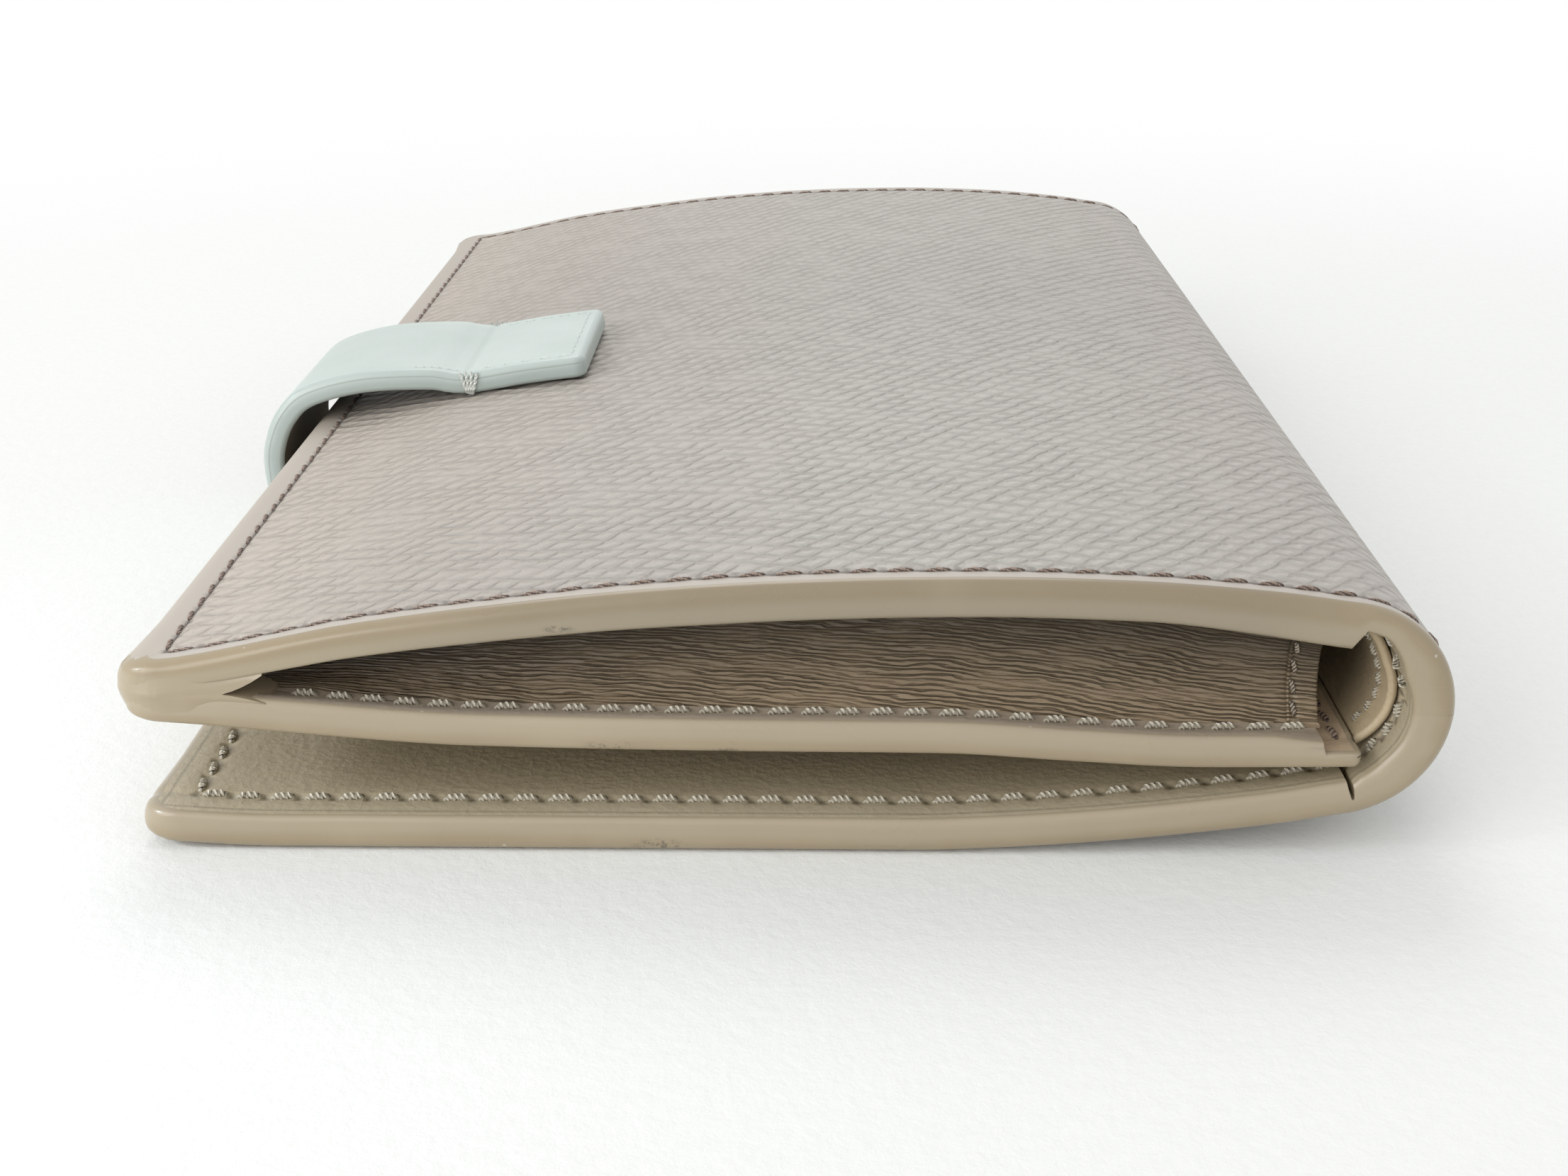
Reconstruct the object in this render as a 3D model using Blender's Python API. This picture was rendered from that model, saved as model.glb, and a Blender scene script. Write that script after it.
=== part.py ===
# Strap wallet, lying closed on its front cover
# X runs from the fore-edge to the spine, Y along the spine, Z up. Lengths are in metres.
# Every cover is built in layers that follow one outline: leather, stiffener board, lining.
import math

import bmesh
import bpy
import numpy as np
from mathutils import Matrix, Vector

mm = 0.001

# Closed wallet
cover_width = 100 * mm
cover_length = 150 * mm
hump_height = 22.95 * mm
spine_height = 17.7 * mm
spine_lift = 3.35 * mm
front_edge_lift = 0.5 * mm
corner_radius = 2.5 * mm

# Layers of a cover
leather_thickness = 1.1 * mm
board_thickness = 0.5 * mm
lining_thickness = 0.8 * mm
clearance = 0.3 * mm
rim_width = 2.4 * mm
rim_step = 0.2 * mm
edge_round_radius = 0.9 * mm
back_skive_length = 45 * mm
back_skive_share = 0.27
panel_skive_length = 9 * mm
panel_skive_share = 0.08
back_lining_end_rise = 0.5 * mm
back_lining_rise_length = 14 * mm

# Hollow of the front cover over the strap
strap_hollow_margin = 2 * mm
strap_hollow_fade = 30 * mm

# Inner panel with its card pockets
panel_leather_thickness = 0.6 * mm
panel_lining_thickness = 0.5 * mm
panel_spine_gap = 6.6 * mm
panel_fill_length = 6.0 * mm
slot_leaf_thickness = 0.6 * mm
slot_column_count = 2
slot_leaf_count = 2
slot_border = 5 * mm
slot_column_gap = 4 * mm
slot_foot = 10 * mm
slot_mouth_inset = 7.5 * mm
slot_mouth_step = 9 * mm

# Gussets
gusset_thickness = 0.5 * mm
gusset_roof_inset = 1.0 * mm
gusset_wall_inset = 3.2 * mm
gusset_bow = 1.6 * mm
gusset_hem_inset = 3.0 * mm
gusset_fold_share = 1 / 6
gusset_bend_height_share = 1 / 4
gusset_bend_bow_share = 0.75

# Linings round the spine
spine_leather_thickness = 1.4 * mm
spine_lining_thickness = 1.3 * mm
lining_slit = 0.5 * mm
strip_thickness = 0.8 * mm
strip_end_inset = 3.6 * mm
strip_low_angle = math.radians(-46)
strip_high_angle = math.radians(66)
lining_angle = math.radians(76)
hinge_angle = math.radians(45)
front_arc_angle = math.radians(-81)
back_arc_angle = math.radians(83)
back_lining_end_angle = math.radians(84)
back_wrap_start_angle = math.radians(64)

# Strap
strap_width = 20 * mm
strap_leather_thickness = 1.1 * mm
strap_lining_thickness = 0.8 * mm
strap_center = 69 * mm
strap_tail_end = 28.5 * mm
strap_seam = 16.2 * mm
strap_bulge = 5.9 * mm
strap_loop_rise = 0.36 * mm
strap_leg_end = 27 * mm
strap_ground_gap = 0.1 * mm
strap_corner_radius = 1.2 * mm
strap_tip_radius = 8 * mm

# Snap under the front cover
snap_place = 19 * mm
snap_flange_radius = 4.0 * mm
snap_flange_thickness = 0.3 * mm
snap_head_radius = 1.4 * mm
snap_head_height = 0.9 * mm
snap_shaft_radius = 1.3 * mm
snap_washer_radius = 3.4 * mm
snap_socket_radius = 3.5 * mm
snap_socket_bore = 1.75 * mm

# Outlines as shares of the width and of a height, from the fore-edge to the start of the spine's arc
back_outline_shares = (
    (0.0, 0.690), (0.03, 0.698), (0.065, 0.724), (0.12, 0.777), (0.17, 0.823), (0.28, 0.894),
    (0.39, 0.950), (0.50, 0.984), (0.60, 0.998), (0.65, 1.0), (0.75, 0.989), (0.86, 0.952),
)
front_rise_shares = ((0.60, 0.0), (0.66, 0.075), (0.715, 0.19), (0.77, 0.35), (0.825, 0.55), (0.88, 0.78))
front_rest_share = 0.10
# Height of the panel as shares of the room between the front cover and the back cover
panel_outline_shares = (
    (0.0, 0.972), (0.065, 0.878), (0.12, 0.741), (0.28, 0.502), (0.5, 0.412),
    (0.66, 0.39), (0.77, 0.318), (0.87, 0.24), (1.0, 0.114),
)
# Thickness round the spine and depth of the strip, as shares of a cover's thickness at angles in degrees
spine_band_shares = ((-80, 0.80), (-68, 1.0), (-45, 1.10), (32, 1.09), (64, 0.78))
strip_depth_shares = ((-48, 1.30), (-20, 1.23), (13, 1.21), (32, 1.20), (45, 1.08), (66, 0.92))
# Strap loop as shares of its bulge past the fore-edge and of its height
strap_loop_shares = (
    (2.05, 1.0), (0.83, 0.982), (-0.19, 0.905), (-0.68, 0.785), (-0.94, 0.63), (-1.0, 0.49),
    (-0.92, 0.335), (-0.55, 0.135), (0.15, 0.025),
)
strap_hinge_share = 0.135

# Stations, as counts
cover_station_count = 20
arc_station_count = 6
hollow_row_count = 18
disc_side_count = 24
arc_point_count = 16
spine_point_count = 61
tail_station_count = 6
loop_station_count = 24
leg_station_count = 14
corner_angles = [math.radians(a) for a in (0, 22.5, 45, 67.5, 90)]

# Sizes that follow from the ones above
shell_thickness = leather_thickness + board_thickness + lining_thickness + 2 * clearance
rim_thickness = leather_thickness + clearance + board_thickness
lining_depth = rim_thickness + clearance
panel_thickness = panel_leather_thickness + clearance + panel_lining_thickness
panel_band = panel_thickness + clearance + gusset_thickness
gusset_start = panel_fill_length + rim_step + 2 * clearance
strap_thickness = strap_leather_thickness + clearance + strap_lining_thickness
strap_hollow_height = strap_ground_gap + strap_thickness + clearance + snap_flange_thickness + clearance
spine_radius = spine_height / 2
spine_x = cover_width - spine_radius
spine_z = spine_lift + spine_radius
middle_y = cover_length / 2
# The origin lies on the table under the middle of the closed wallet, strap included
origin_shift = Vector((-(cover_width - strap_bulge) / 2, -middle_y, 0.0))


def clear_scene():
    for item in list(bpy.data.objects):
        bpy.data.objects.remove(item, do_unlink=True)


# Curves

def monotone_slopes(x, z, last_slope=None):
    steps = np.diff(z) / np.diff(x)
    slopes = np.zeros(len(x))
    slopes[0] = steps[0]
    slopes[-1] = steps[-1] if last_slope is None else last_slope
    for i in range(1, len(x) - 1):
        if steps[i - 1] * steps[i] > 0:
            slopes[i] = 2 * steps[i - 1] * steps[i] / (steps[i - 1] + steps[i])
    return slopes


def monotone_curve(points, last_slope=None, per_span=10):
    # A smooth curve through the points that never swings past them
    x = np.array([p[0] for p in points])
    z = np.array([p[1] for p in points])
    slopes = monotone_slopes(x, z, last_slope)
    out = [(x[0], z[0])]
    for i in range(len(x) - 1):
        span = x[i + 1] - x[i]
        for k in range(1, per_span + 1):
            t = k / per_span
            a = (1 + 2 * t) * (1 - t) ** 2
            b = t * (1 - t) ** 2
            c = t * t * (3 - 2 * t)
            d = t * t * (t - 1)
            value = a * z[i] + b * span * slopes[i] + c * z[i + 1] + d * span * slopes[i + 1]
            out.append((x[i] + t * span, value))
    return out


def rounded_curve(points, per_span=8):
    # A Catmull-Rom curve through the points
    pts = [np.array(p, float) for p in points]
    pts = [2 * pts[0] - pts[1]] + pts + [2 * pts[-1] - pts[-2]]
    out = []
    for i in range(1, len(pts) - 2):
        for k in range(per_span):
            t = k / per_span
            a, b, c, d = pts[i - 1], pts[i], pts[i + 1], pts[i + 2]
            out.append(0.5 * (2 * b + (c - a) * t + (2 * a - 5 * b + 4 * c - d) * t ** 2
                              + (3 * b - a - 3 * c + d) * t ** 3))
    out.append(pts[-2])
    return [tuple(p) for p in out]


def arc_points(radius, first, last, count):
    return [(spine_x + radius * math.cos(a), spine_z + radius * math.sin(a))
            for a in np.linspace(first, last, count)]


def fade(t):
    # Falls smoothly from 1 at t = 0 to 0 at t = 1
    t = min(1.0, max(0.0, t))
    return 1 - t * t * (3 - 2 * t)


def back_skive(s):
    # The back cover grows thinner towards the fore-edge
    return 1 - back_skive_share * max(0.0, 1 - s / back_skive_length)


def panel_skive(s):
    return 1 - panel_skive_share * max(0.0, 1 - s / panel_skive_length)


def back_depth(s):
    # The back cover's thickness, which grows again towards the end of its lining
    past_end = cover_width - spine_radius - s
    return shell_thickness * back_skive(s) + back_lining_end_rise * fade(past_end / back_lining_rise_length)


class Outline:
    # A line in the XZ plane, measured by the distance along it and the depth to its inner side

    def __init__(self, points, inner_side):
        self.points = np.array(points)
        steps = np.diff(self.points, axis=0)
        self.distances = np.concatenate([[0.0], np.cumsum(np.hypot(steps[:, 0], steps[:, 1]))])
        along = np.gradient(self.points, self.distances, axis=0)
        along /= np.hypot(along[:, 0], along[:, 1])[:, None]
        self.normals = inner_side * np.stack([-along[:, 1], along[:, 0]], axis=1)
        self.length = self.distances[-1]

    def at(self, distance, depth=0.0):
        place = [np.interp(distance, self.distances, self.points[:, k]) for k in (0, 1)]
        normal = [np.interp(distance, self.distances, self.normals[:, k]) for k in (0, 1)]
        return place[0] + depth * normal[0], place[1] + depth * normal[1]

    def where_x(self, x):
        return float(np.interp(x, self.points[:, 0], self.distances))

    def height_at(self, x, depth):
        line = self.points + depth * self.normals
        return float(np.interp(x, line[:, 0], line[:, 1]))


def back_outline():
    slope = -1 / math.tan(back_arc_angle)
    arc = arc_points(spine_radius, back_arc_angle, hinge_angle, arc_point_count)
    cover = [(u * cover_width, v * hump_height) for u, v in back_outline_shares] + [arc[0]]
    return Outline(monotone_curve(cover, slope) + arc[1:], -1)


def front_outline():
    slope = -1 / math.tan(front_arc_angle)
    arc = arc_points(spine_radius, front_arc_angle, -hinge_angle, arc_point_count)
    start = [(0.0, front_edge_lift), (front_rest_share * cover_width, 0.0)]
    rise = [(u * cover_width, v * spine_lift) for u, v in front_rise_shares]
    return Outline(monotone_curve(start + rise + [arc[0]], slope) + arc[1:], 1)


def spine_outline():
    return Outline(arc_points(spine_radius, -hinge_angle, hinge_angle, spine_point_count), 1)


def spine_inner_outline():
    # The same circle, long enough for the linings that run on past the hinges
    return Outline(arc_points(spine_radius, -lining_angle, lining_angle, spine_point_count), 1)


def back_under(back, x):
    # The underside of the back cover's lining
    return back.height_at(x, back_depth(back.where_x(x)))


def panel_outline(front, back):
    points = []
    for u, v in panel_outline_shares:
        x = u * (cover_width - panel_spine_gap)
        floor = front.height_at(x, shell_thickness)
        roof = back_under(back, x) - clearance - panel_band * panel_skive(x)
        points.append((x, floor + v * (roof - floor)))
    return Outline(monotone_curve(points), 1)


def strap_outline(back):
    # The outer face of the strap: sewn tail, loop round the fore-edge, leg under the front cover
    lift = clearance + strap_thickness
    tail = [back.at(back.where_x(x), -lift)
            for x in (strap_tail_end, (strap_tail_end + strap_seam) / 2, strap_seam)]
    loop_height = tail[-1][1] + strap_loop_rise
    loop = [(u * strap_bulge, v * loop_height) for u, v in strap_loop_shares]
    leg = [(x, strap_ground_gap)
           for x in (strap_bulge, (strap_bulge + strap_leg_end) / 2, strap_leg_end)]
    return Outline(rounded_curve(tail + loop + leg), 1)


# Meshes

def add_piece(name, bm, color_of, pivot):
    bmesh.ops.recalc_face_normals(bm, faces=bm.faces)
    bm.transform(Matrix.Translation(-Vector(pivot)))
    mesh = bpy.data.meshes.new(name)
    bm.to_mesh(mesh)
    bm.free()
    piece = bpy.data.objects.new(name, mesh)
    piece.location = Vector(pivot) + origin_shift
    bpy.context.collection.objects.link(piece)
    mesh.materials.append(color_of)
    for polygon in mesh.polygons:
        polygon.use_smooth = True
    mesh.set_sharp_from_angle(angle=math.radians(30))
    return piece


def material(name, color, roughness, metallic=0.0):
    made = bpy.data.materials.new(name)
    made.use_nodes = True
    shader = made.node_tree.nodes["Principled BSDF"]
    shader.inputs["Base Color"].default_value = (*color, 1.0)
    shader.inputs["Roughness"].default_value = roughness
    shader.inputs["Metallic"].default_value = metallic
    return made


def corner_inset(y, low, high, radius):
    reach = min(y - low, high - y)
    if radius <= 0 or reach >= radius:
        return 0.0
    return radius - math.sqrt(max(0.0, radius ** 2 - (radius - reach) ** 2))


def corner_rows(low, high, radius, inner_rows):
    # Rows across a plate, close together where its corners are round
    bends = [radius * (1 - math.cos(a)) for a in corner_angles] if radius else [0.0]
    rows = [low + b for b in bends] + list(inner_rows) + [high - b for b in reversed(bends)]
    return sorted(set(round(r, 7) for r in rows))


def plate(name, outline, stations, rows, depths, color_of, pivot, start_radius=0.0, end_radius=0.0,
          shift=None):
    # A sheet that follows an outline along X and runs along Y, with its own depth at every point
    bm = bmesh.new()
    low, high = rows[0], rows[-1]
    first, last = stations[0], stations[-1]
    faces = {}
    for side in (0, 1):
        for j, y in enumerate(rows):
            begin = corner_inset(y, low, high, start_radius)
            finish = corner_inset(y, low, high, end_radius)
            for i, s in enumerate(stations):
                # A round corner draws in the stations within twice its radius
                here = s
                if begin:
                    here += begin * max(0.0, 1 - (s - first) / (2 * start_radius))
                if finish:
                    here -= finish * max(0.0, 1 - (last - s) / (2 * end_radius))
                x, z = outline.at(here, depths(here, y)[side])
                if shift:
                    z += shift(x, y)
                faces[side, i, j] = bm.verts.new((x, y, z))
    columns, lines = len(stations), len(rows)
    for i in range(columns - 1):
        for j in range(lines - 1):
            for side in (0, 1):
                bm.faces.new([faces[side, i, j], faces[side, i + 1, j],
                              faces[side, i + 1, j + 1], faces[side, i, j + 1]])
    for i in range(columns - 1):
        for j in (0, lines - 1):
            bm.faces.new([faces[0, i, j], faces[0, i + 1, j], faces[1, i + 1, j], faces[1, i, j]])
    for j in range(lines - 1):
        for i in (0, columns - 1):
            bm.faces.new([faces[0, i, j], faces[0, i, j + 1], faces[1, i, j + 1], faces[1, i, j]])
    return add_piece(name, bm, color_of, pivot)


def thicken(line, thickness):
    # A closed outline round an open line in the YZ plane
    pts = np.array(line)
    along = np.gradient(pts, axis=0)
    along /= np.hypot(along[:, 0], along[:, 1])[:, None]
    normal = np.stack([-along[:, 1], along[:, 0]], axis=1) * thickness / 2
    return list(pts + normal) + list((pts - normal)[::-1])


def loft(name, sections, color_of, pivot):
    bm = bmesh.new()
    rings = [[bm.verts.new(p) for p in section] for section in sections]
    count = len(rings[0])
    for a, b in zip(rings, rings[1:]):
        for k in range(count):
            n = (k + 1) % count
            bm.faces.new([a[k], a[n], b[n], b[k]])
    half = count // 2
    for ring in (rings[0], rings[-1]):
        for k in range(half - 1):
            bm.faces.new([ring[k], ring[k + 1], ring[count - 2 - k], ring[count - 1 - k]])
    return add_piece(name, bm, color_of, pivot)


def turned(name, profile, center, color_of, pivot):
    # A round piece from a closed profile of radius and height
    bm = bmesh.new()
    loop = [bm.verts.new((r, 0.0, z)) for r, z in profile]
    edges = [bm.edges.new((loop[i], loop[(i + 1) % len(loop)])) for i in range(len(loop))]
    bmesh.ops.spin(bm, geom=loop + edges, cent=(0, 0, 0), axis=(0, 0, 1), angle=math.tau,
                   steps=disc_side_count, use_merge=True)
    bmesh.ops.remove_doubles(bm, verts=bm.verts, dist=clearance / 100)
    bm.transform(Matrix.Translation(Vector(center)))
    return add_piece(name, bm, color_of, pivot)


def drill(piece, center, radius, depth):
    bm = bmesh.new()
    bmesh.ops.create_cone(bm, cap_ends=True, segments=disc_side_count, radius1=radius, radius2=radius,
                          depth=depth)
    mesh = bpy.data.meshes.new(piece.name + "_cutter")
    bm.to_mesh(mesh)
    bm.free()
    cutter = bpy.data.objects.new(piece.name + "_cutter", mesh)
    cutter.location = Vector(center) + origin_shift
    cutter.hide_render = True
    cutter.display_type = "WIRE"
    bpy.context.collection.objects.link(cutter)
    cut = piece.modifiers.new("hole", "BOOLEAN")
    cut.operation = "DIFFERENCE"
    cut.solver = "EXACT"
    cut.object = cutter


# Shapes that several pieces share

def front_hollow(x, y):
    # How far the front cover stands up over the strap's leg
    across = abs(y - strap_center) - strap_width / 2 - strap_hollow_margin
    along = x - strap_leg_end - strap_hollow_margin
    return strap_hollow_height * fade(across / strap_hollow_fade) * fade(along / strap_hollow_fade)


def hollow_row_places():
    return list(np.linspace(rim_width + rim_step, cover_length - rim_width - rim_step, hollow_row_count))


def cover_places(outline, arc_start, last):
    near = round_places() + [rim_width, rim_width + rim_step]
    flat = list(np.linspace(rim_width + rim_step, arc_start, cover_station_count))[1:]
    bend = list(np.linspace(arc_start, last, arc_station_count))[1:]
    return near + flat + bend


def is_rim(s, y):
    edge = rim_width + rim_step / 2
    return s < edge or y < edge or y > cover_length - edge


def rim_rows():
    return end_rows()[1:-1] + [rim_width, rim_width + rim_step, cover_length - rim_width - rim_step,
                               cover_length - rim_width]


def round_depth(reach):
    # How far a rounded outer edge falls back
    if reach >= edge_round_radius:
        return 0.0
    return edge_round_radius - math.sqrt(edge_round_radius ** 2 - (edge_round_radius - reach) ** 2)


def round_places():
    return [edge_round_radius * (1 - math.cos(a)) for a in corner_angles]


def end_rows():
    return round_places() + [cover_length - place for place in reversed(round_places())]


def outer_depth(s, y):
    return round_depth(min(s, y, cover_length - y))


def share_at(shares, outline, s):
    # A share from a table of angles, at a place on an outline that runs round the spine
    x, z = outline.at(s)
    angle = math.degrees(math.atan2(z - spine_z, x - spine_x))
    return float(np.interp(angle, [a for a, b in shares], [b for a, b in shares]))


def band_depth(outline, s):
    return shell_thickness * share_at(spine_band_shares, outline, s)


def build():
    clear_scene()
    outer = material("outer_leather", (0.50, 0.44, 0.40), 0.55)
    inner = material("lining_leather", (0.36, 0.29, 0.23), 0.5)
    card = material("stiffener_board", (0.62, 0.58, 0.52), 0.85)
    band = material("strap_leather", (0.58, 0.64, 0.64), 0.5)
    band_under = material("strap_lining", (0.18, 0.15, 0.13), 0.6)
    metal = material("snap_metal", (0.62, 0.60, 0.56), 0.3, 1.0)

    front, back, spine, wrap = front_outline(), back_outline(), spine_outline(), spine_inner_outline()
    panel = panel_outline(front, back)
    strap = strap_outline(back)
    half_gap = clearance / 2

    front_pivot = (0.0, 0.0, 0.0)
    low_hinge, high_hinge = spine.at(0.0), spine.at(spine.length)
    spine_pivot = (low_hinge[0], middle_y, low_hinge[1])
    back_pivot = (high_hinge[0], middle_y, high_hinge[1])

    # Front cover
    arc_start = front.where_x(spine_x + spine_radius * math.cos(front_arc_angle))
    cover_rows = corner_rows(0.0, cover_length, corner_radius, rim_rows() + hollow_row_places())
    stations = cover_places(front, arc_start, front.length - half_gap)

    def front_leather_depths(s, y):
        return outer_depth(s, y), rim_thickness if is_rim(s, y) else leather_thickness

    front_leather = plate("front_cover_leather", front, stations, cover_rows, front_leather_depths,
                          outer, front_pivot, start_radius=corner_radius, shift=front_hollow)

    inset = rim_width + rim_step + clearance
    board_end = arc_start - inset
    board_rows = [inset] + hollow_row_places()[1:-1] + [cover_length - inset]
    board_stations = list(np.linspace(inset, board_end, cover_station_count))
    board_depth = leather_thickness + clearance

    def board_depths(s, y):
        return board_depth, board_depth + board_thickness

    front_board = plate("front_board", front, board_stations, board_rows, board_depths, card,
                        front_pivot, shift=front_hollow)

    slit = front.where_x(spine_x + clearance)
    lining_stations = [s for s in stations if s < slit - clearance] + [slit - lining_slit / 2]

    def lining_depths(s, y):
        return lining_depth, shell_thickness

    plate("front_lining", front, lining_stations, cover_rows, lining_depths, inner, front_pivot,
          start_radius=corner_radius, shift=front_hollow)

    # Linings of the spine, in three lengths that part at the hinges
    wrap_depth = shell_thickness - spine_lining_thickness

    def low_wrap_depths(s, y):
        return lining_depth, band_depth(front, s)

    def high_wrap_depths(s, y):
        return rim_thickness + half_gap, band_depth(back, s)

    def spine_depths(s, y):
        return wrap_depth, band_depth(spine, s)

    ends = [0.0, cover_length]
    low_end = np.linspace(slit + lining_slit / 2, front.length - half_gap, arc_station_count)
    plate("front_spine_lining", front, list(low_end), ends, low_wrap_depths, inner, front_pivot)

    # Spine
    bend = list(np.linspace(half_gap, spine.length - half_gap, 2 * arc_station_count))

    def spine_leather_depths(s, y):
        return round_depth(min(y, cover_length - y)), spine_leather_thickness

    plate("spine_leather", spine, bend, end_rows(), spine_leather_depths, outer, spine_pivot)
    plate("spine_lining", spine, bend, ends, spine_depths, inner, spine_pivot)

    strip_low = spine_radius * (strip_low_angle + lining_angle)
    strip_high = spine_radius * (strip_high_angle + lining_angle)
    strip_stations = list(np.linspace(strip_low, strip_high, 2 * arc_station_count))
    strip_rows = [strip_end_inset, cover_length - strip_end_inset]

    def strip_depths(s, y):
        near = shell_thickness * share_at(strip_depth_shares, wrap, s)
        return near, near + strip_thickness

    plate("spine_strip", wrap, strip_stations, strip_rows, strip_depths, inner, spine_pivot)

    # Back cover
    back_arc_start = back.where_x(spine_x + spine_radius * math.cos(back_arc_angle))
    back_rows = corner_rows(0.0, cover_length, corner_radius, rim_rows())
    back_stations = cover_places(back, back_arc_start, back.length - half_gap)

    def back_leather_depths(s, y):
        deep = rim_thickness if is_rim(s, y) else leather_thickness
        return outer_depth(s, y), deep * back_skive(s)

    plate("back_cover_leather", back, back_stations, back_rows, back_leather_depths, outer, back_pivot,
          start_radius=corner_radius)

    def back_board_depths(s, y):
        return board_depth * back_skive(s), (board_depth + board_thickness) * back_skive(s)

    back_board_stations = list(np.linspace(inset, back_arc_start - inset, cover_station_count))
    plate("back_board", back, back_board_stations, [inset, cover_length - inset], back_board_depths,
          card, back_pivot)

    def back_lining_depths(s, y):
        return lining_depth * back_skive(s), back_depth(s)

    # The lining stops short of the spine, and the spine's own lining grows out of the bare leather
    cut = back.where_x(spine_x + spine_radius * math.cos(back_lining_end_angle))
    wrap_start = back_arc_start + spine_radius * (back_arc_angle - back_wrap_start_angle)
    back_lining_stations = [s for s in back_stations if s < cut - clearance] + [cut]
    plate("back_lining", back, back_lining_stations, back_rows, back_lining_depths, inner, back_pivot,
          start_radius=corner_radius)
    high_end = np.linspace(wrap_start, back.length - half_gap, arc_station_count)
    plate("back_spine_lining", back, list(high_end), ends, high_wrap_depths, inner, back_pivot)

    # Inner panel
    panel_stations = [0.0, panel_fill_length / 2, panel_fill_length, panel_fill_length + rim_step]
    panel_stations += list(np.linspace(panel_stations[-1], panel.length, cover_station_count))[1:]
    panel_rows = corner_rows(0.0, cover_length, corner_radius, [])

    def panel_leather_depths(s, y):
        return 0.0, panel_leather_thickness * panel_skive(s)

    def panel_lining_depths(s, y):
        # At the fore-edge the lining fills the room up to the back cover
        x, z = panel.at(s)
        filled = s < panel_fill_length + rim_step / 2
        top = back_under(back, x) - clearance - z if filled else panel_thickness * panel_skive(s)
        return (panel_leather_thickness + clearance) * panel_skive(s), top

    for name, depths in (("panel_leather", panel_leather_depths), ("panel_lining", panel_lining_depths)):
        plate(name, panel, panel_stations, panel_rows, depths, inner, back_pivot,
              start_radius=corner_radius, end_radius=clearance)

    # Card pockets on the side of the panel that faces the front cover
    column_gaps = (slot_column_count - 1) * slot_column_gap
    column_width = (cover_length - 2 * slot_border - column_gaps) / slot_column_count
    leaf_pitch = clearance + slot_leaf_thickness
    for column in range(slot_column_count):
        low = slot_border + column * (column_width + slot_column_gap)
        for leaf in range(slot_leaf_count):
            mouth = panel.length - slot_mouth_inset - leaf * slot_mouth_step
            near = -clearance - leaf * leaf_pitch
            far = near - slot_leaf_thickness

            def leaf_depths(s, y, near=near, far=far):
                return far, near

            leaf_stations = list(np.linspace(slot_foot, mouth, cover_station_count // 2))
            plate(f"card_pocket_{column + 1}_{leaf + 1}", panel, leaf_stations,
                  [low, low + column_width], leaf_depths, inner, back_pivot)

    # Gussets at both ends, which close the compartment between the panel and the back cover
    def gusset_sections(mirror):
        sections = []
        hem = cover_width - panel_spine_gap - gusset_hem_inset
        for x in np.linspace(gusset_start, hem, cover_station_count):
            floor = panel.height_at(x, panel_thickness) + clearance + gusset_thickness / 2
            roof = back_under(back, x) - clearance - gusset_thickness / 2
            middle = (floor + roof) / 2
            tall = roof - floor
            bow = gusset_bow * min(1.0, tall / gusset_wall_inset)
            fold = min(gusset_thickness, tall * gusset_fold_share)
            bend = tall * gusset_bend_height_share
            bend_inset = gusset_wall_inset + bow * gusset_bend_bow_share
            line = [(0.0, floor), (gusset_wall_inset - gusset_thickness, floor),
                    (gusset_wall_inset, floor + fold), (bend_inset, middle - bend),
                    (gusset_wall_inset + bow, middle), (bend_inset, middle + bend),
                    (gusset_wall_inset, roof - fold), (gusset_wall_inset - gusset_thickness, roof),
                    (gusset_roof_inset, roof)]
            ring = thicken(line, gusset_thickness)
            sections.append([(x, cover_length - y if mirror else y, z) for y, z in ring])
        return sections

    loft("near_gusset", gusset_sections(False), inner, back_pivot)
    loft("far_gusset", gusset_sections(True), inner, back_pivot)

    # Strap: tail sewn to the back cover, loop round the fore-edge, leg with the snap
    low = strap_center - strap_width / 2
    high = strap_center + strap_width / 2
    foremost = int(np.argmin(strap.points[:, 0]))
    seam = float(np.interp(-strap_seam, -strap.points[:foremost, 0], strap.distances[:foremost]))
    turn_height = strap_hinge_share * strap.points[:, 1].max()
    fall = next(k for k, height in enumerate(strap.points[:, 1]) if height < turn_height)
    turn = strap.distances[fall]
    seam_top = strap.at(seam)
    turn_point = strap.at(turn)
    loop_pivot = (seam_top[0], strap_center, seam_top[1])
    leg_pivot = (turn_point[0], strap_center, turn_point[1])

    def strap_leather_depths(s, y):
        return 0.0, strap_leather_thickness

    def strap_lining_depths(s, y):
        return strap_leather_thickness + clearance, strap_thickness

    spans = (
        ("strap_tail", np.linspace(0.0, seam - half_gap, tail_station_count), back_pivot,
         strap_corner_radius, 0.0),
        ("strap_loop", np.linspace(seam + half_gap, turn - half_gap, loop_station_count), loop_pivot,
         0.0, 0.0),
        ("strap_end", np.linspace(turn + half_gap, strap.length, leg_station_count), leg_pivot,
         0.0, strap_tip_radius),
    )
    strap_pieces = {}
    for name, places, pivot, start_radius, end_radius in spans:
        rows = corner_rows(low, high, max(start_radius, end_radius), [])
        for layer, depths, color_of in (("leather", strap_leather_depths, band),
                                        ("lining", strap_lining_depths, band_under)):
            strap_pieces[name, layer] = plate(f"{name}_{layer}", strap, list(places), rows, depths,
                                              color_of, pivot, start_radius=start_radius,
                                              end_radius=end_radius)

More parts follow.
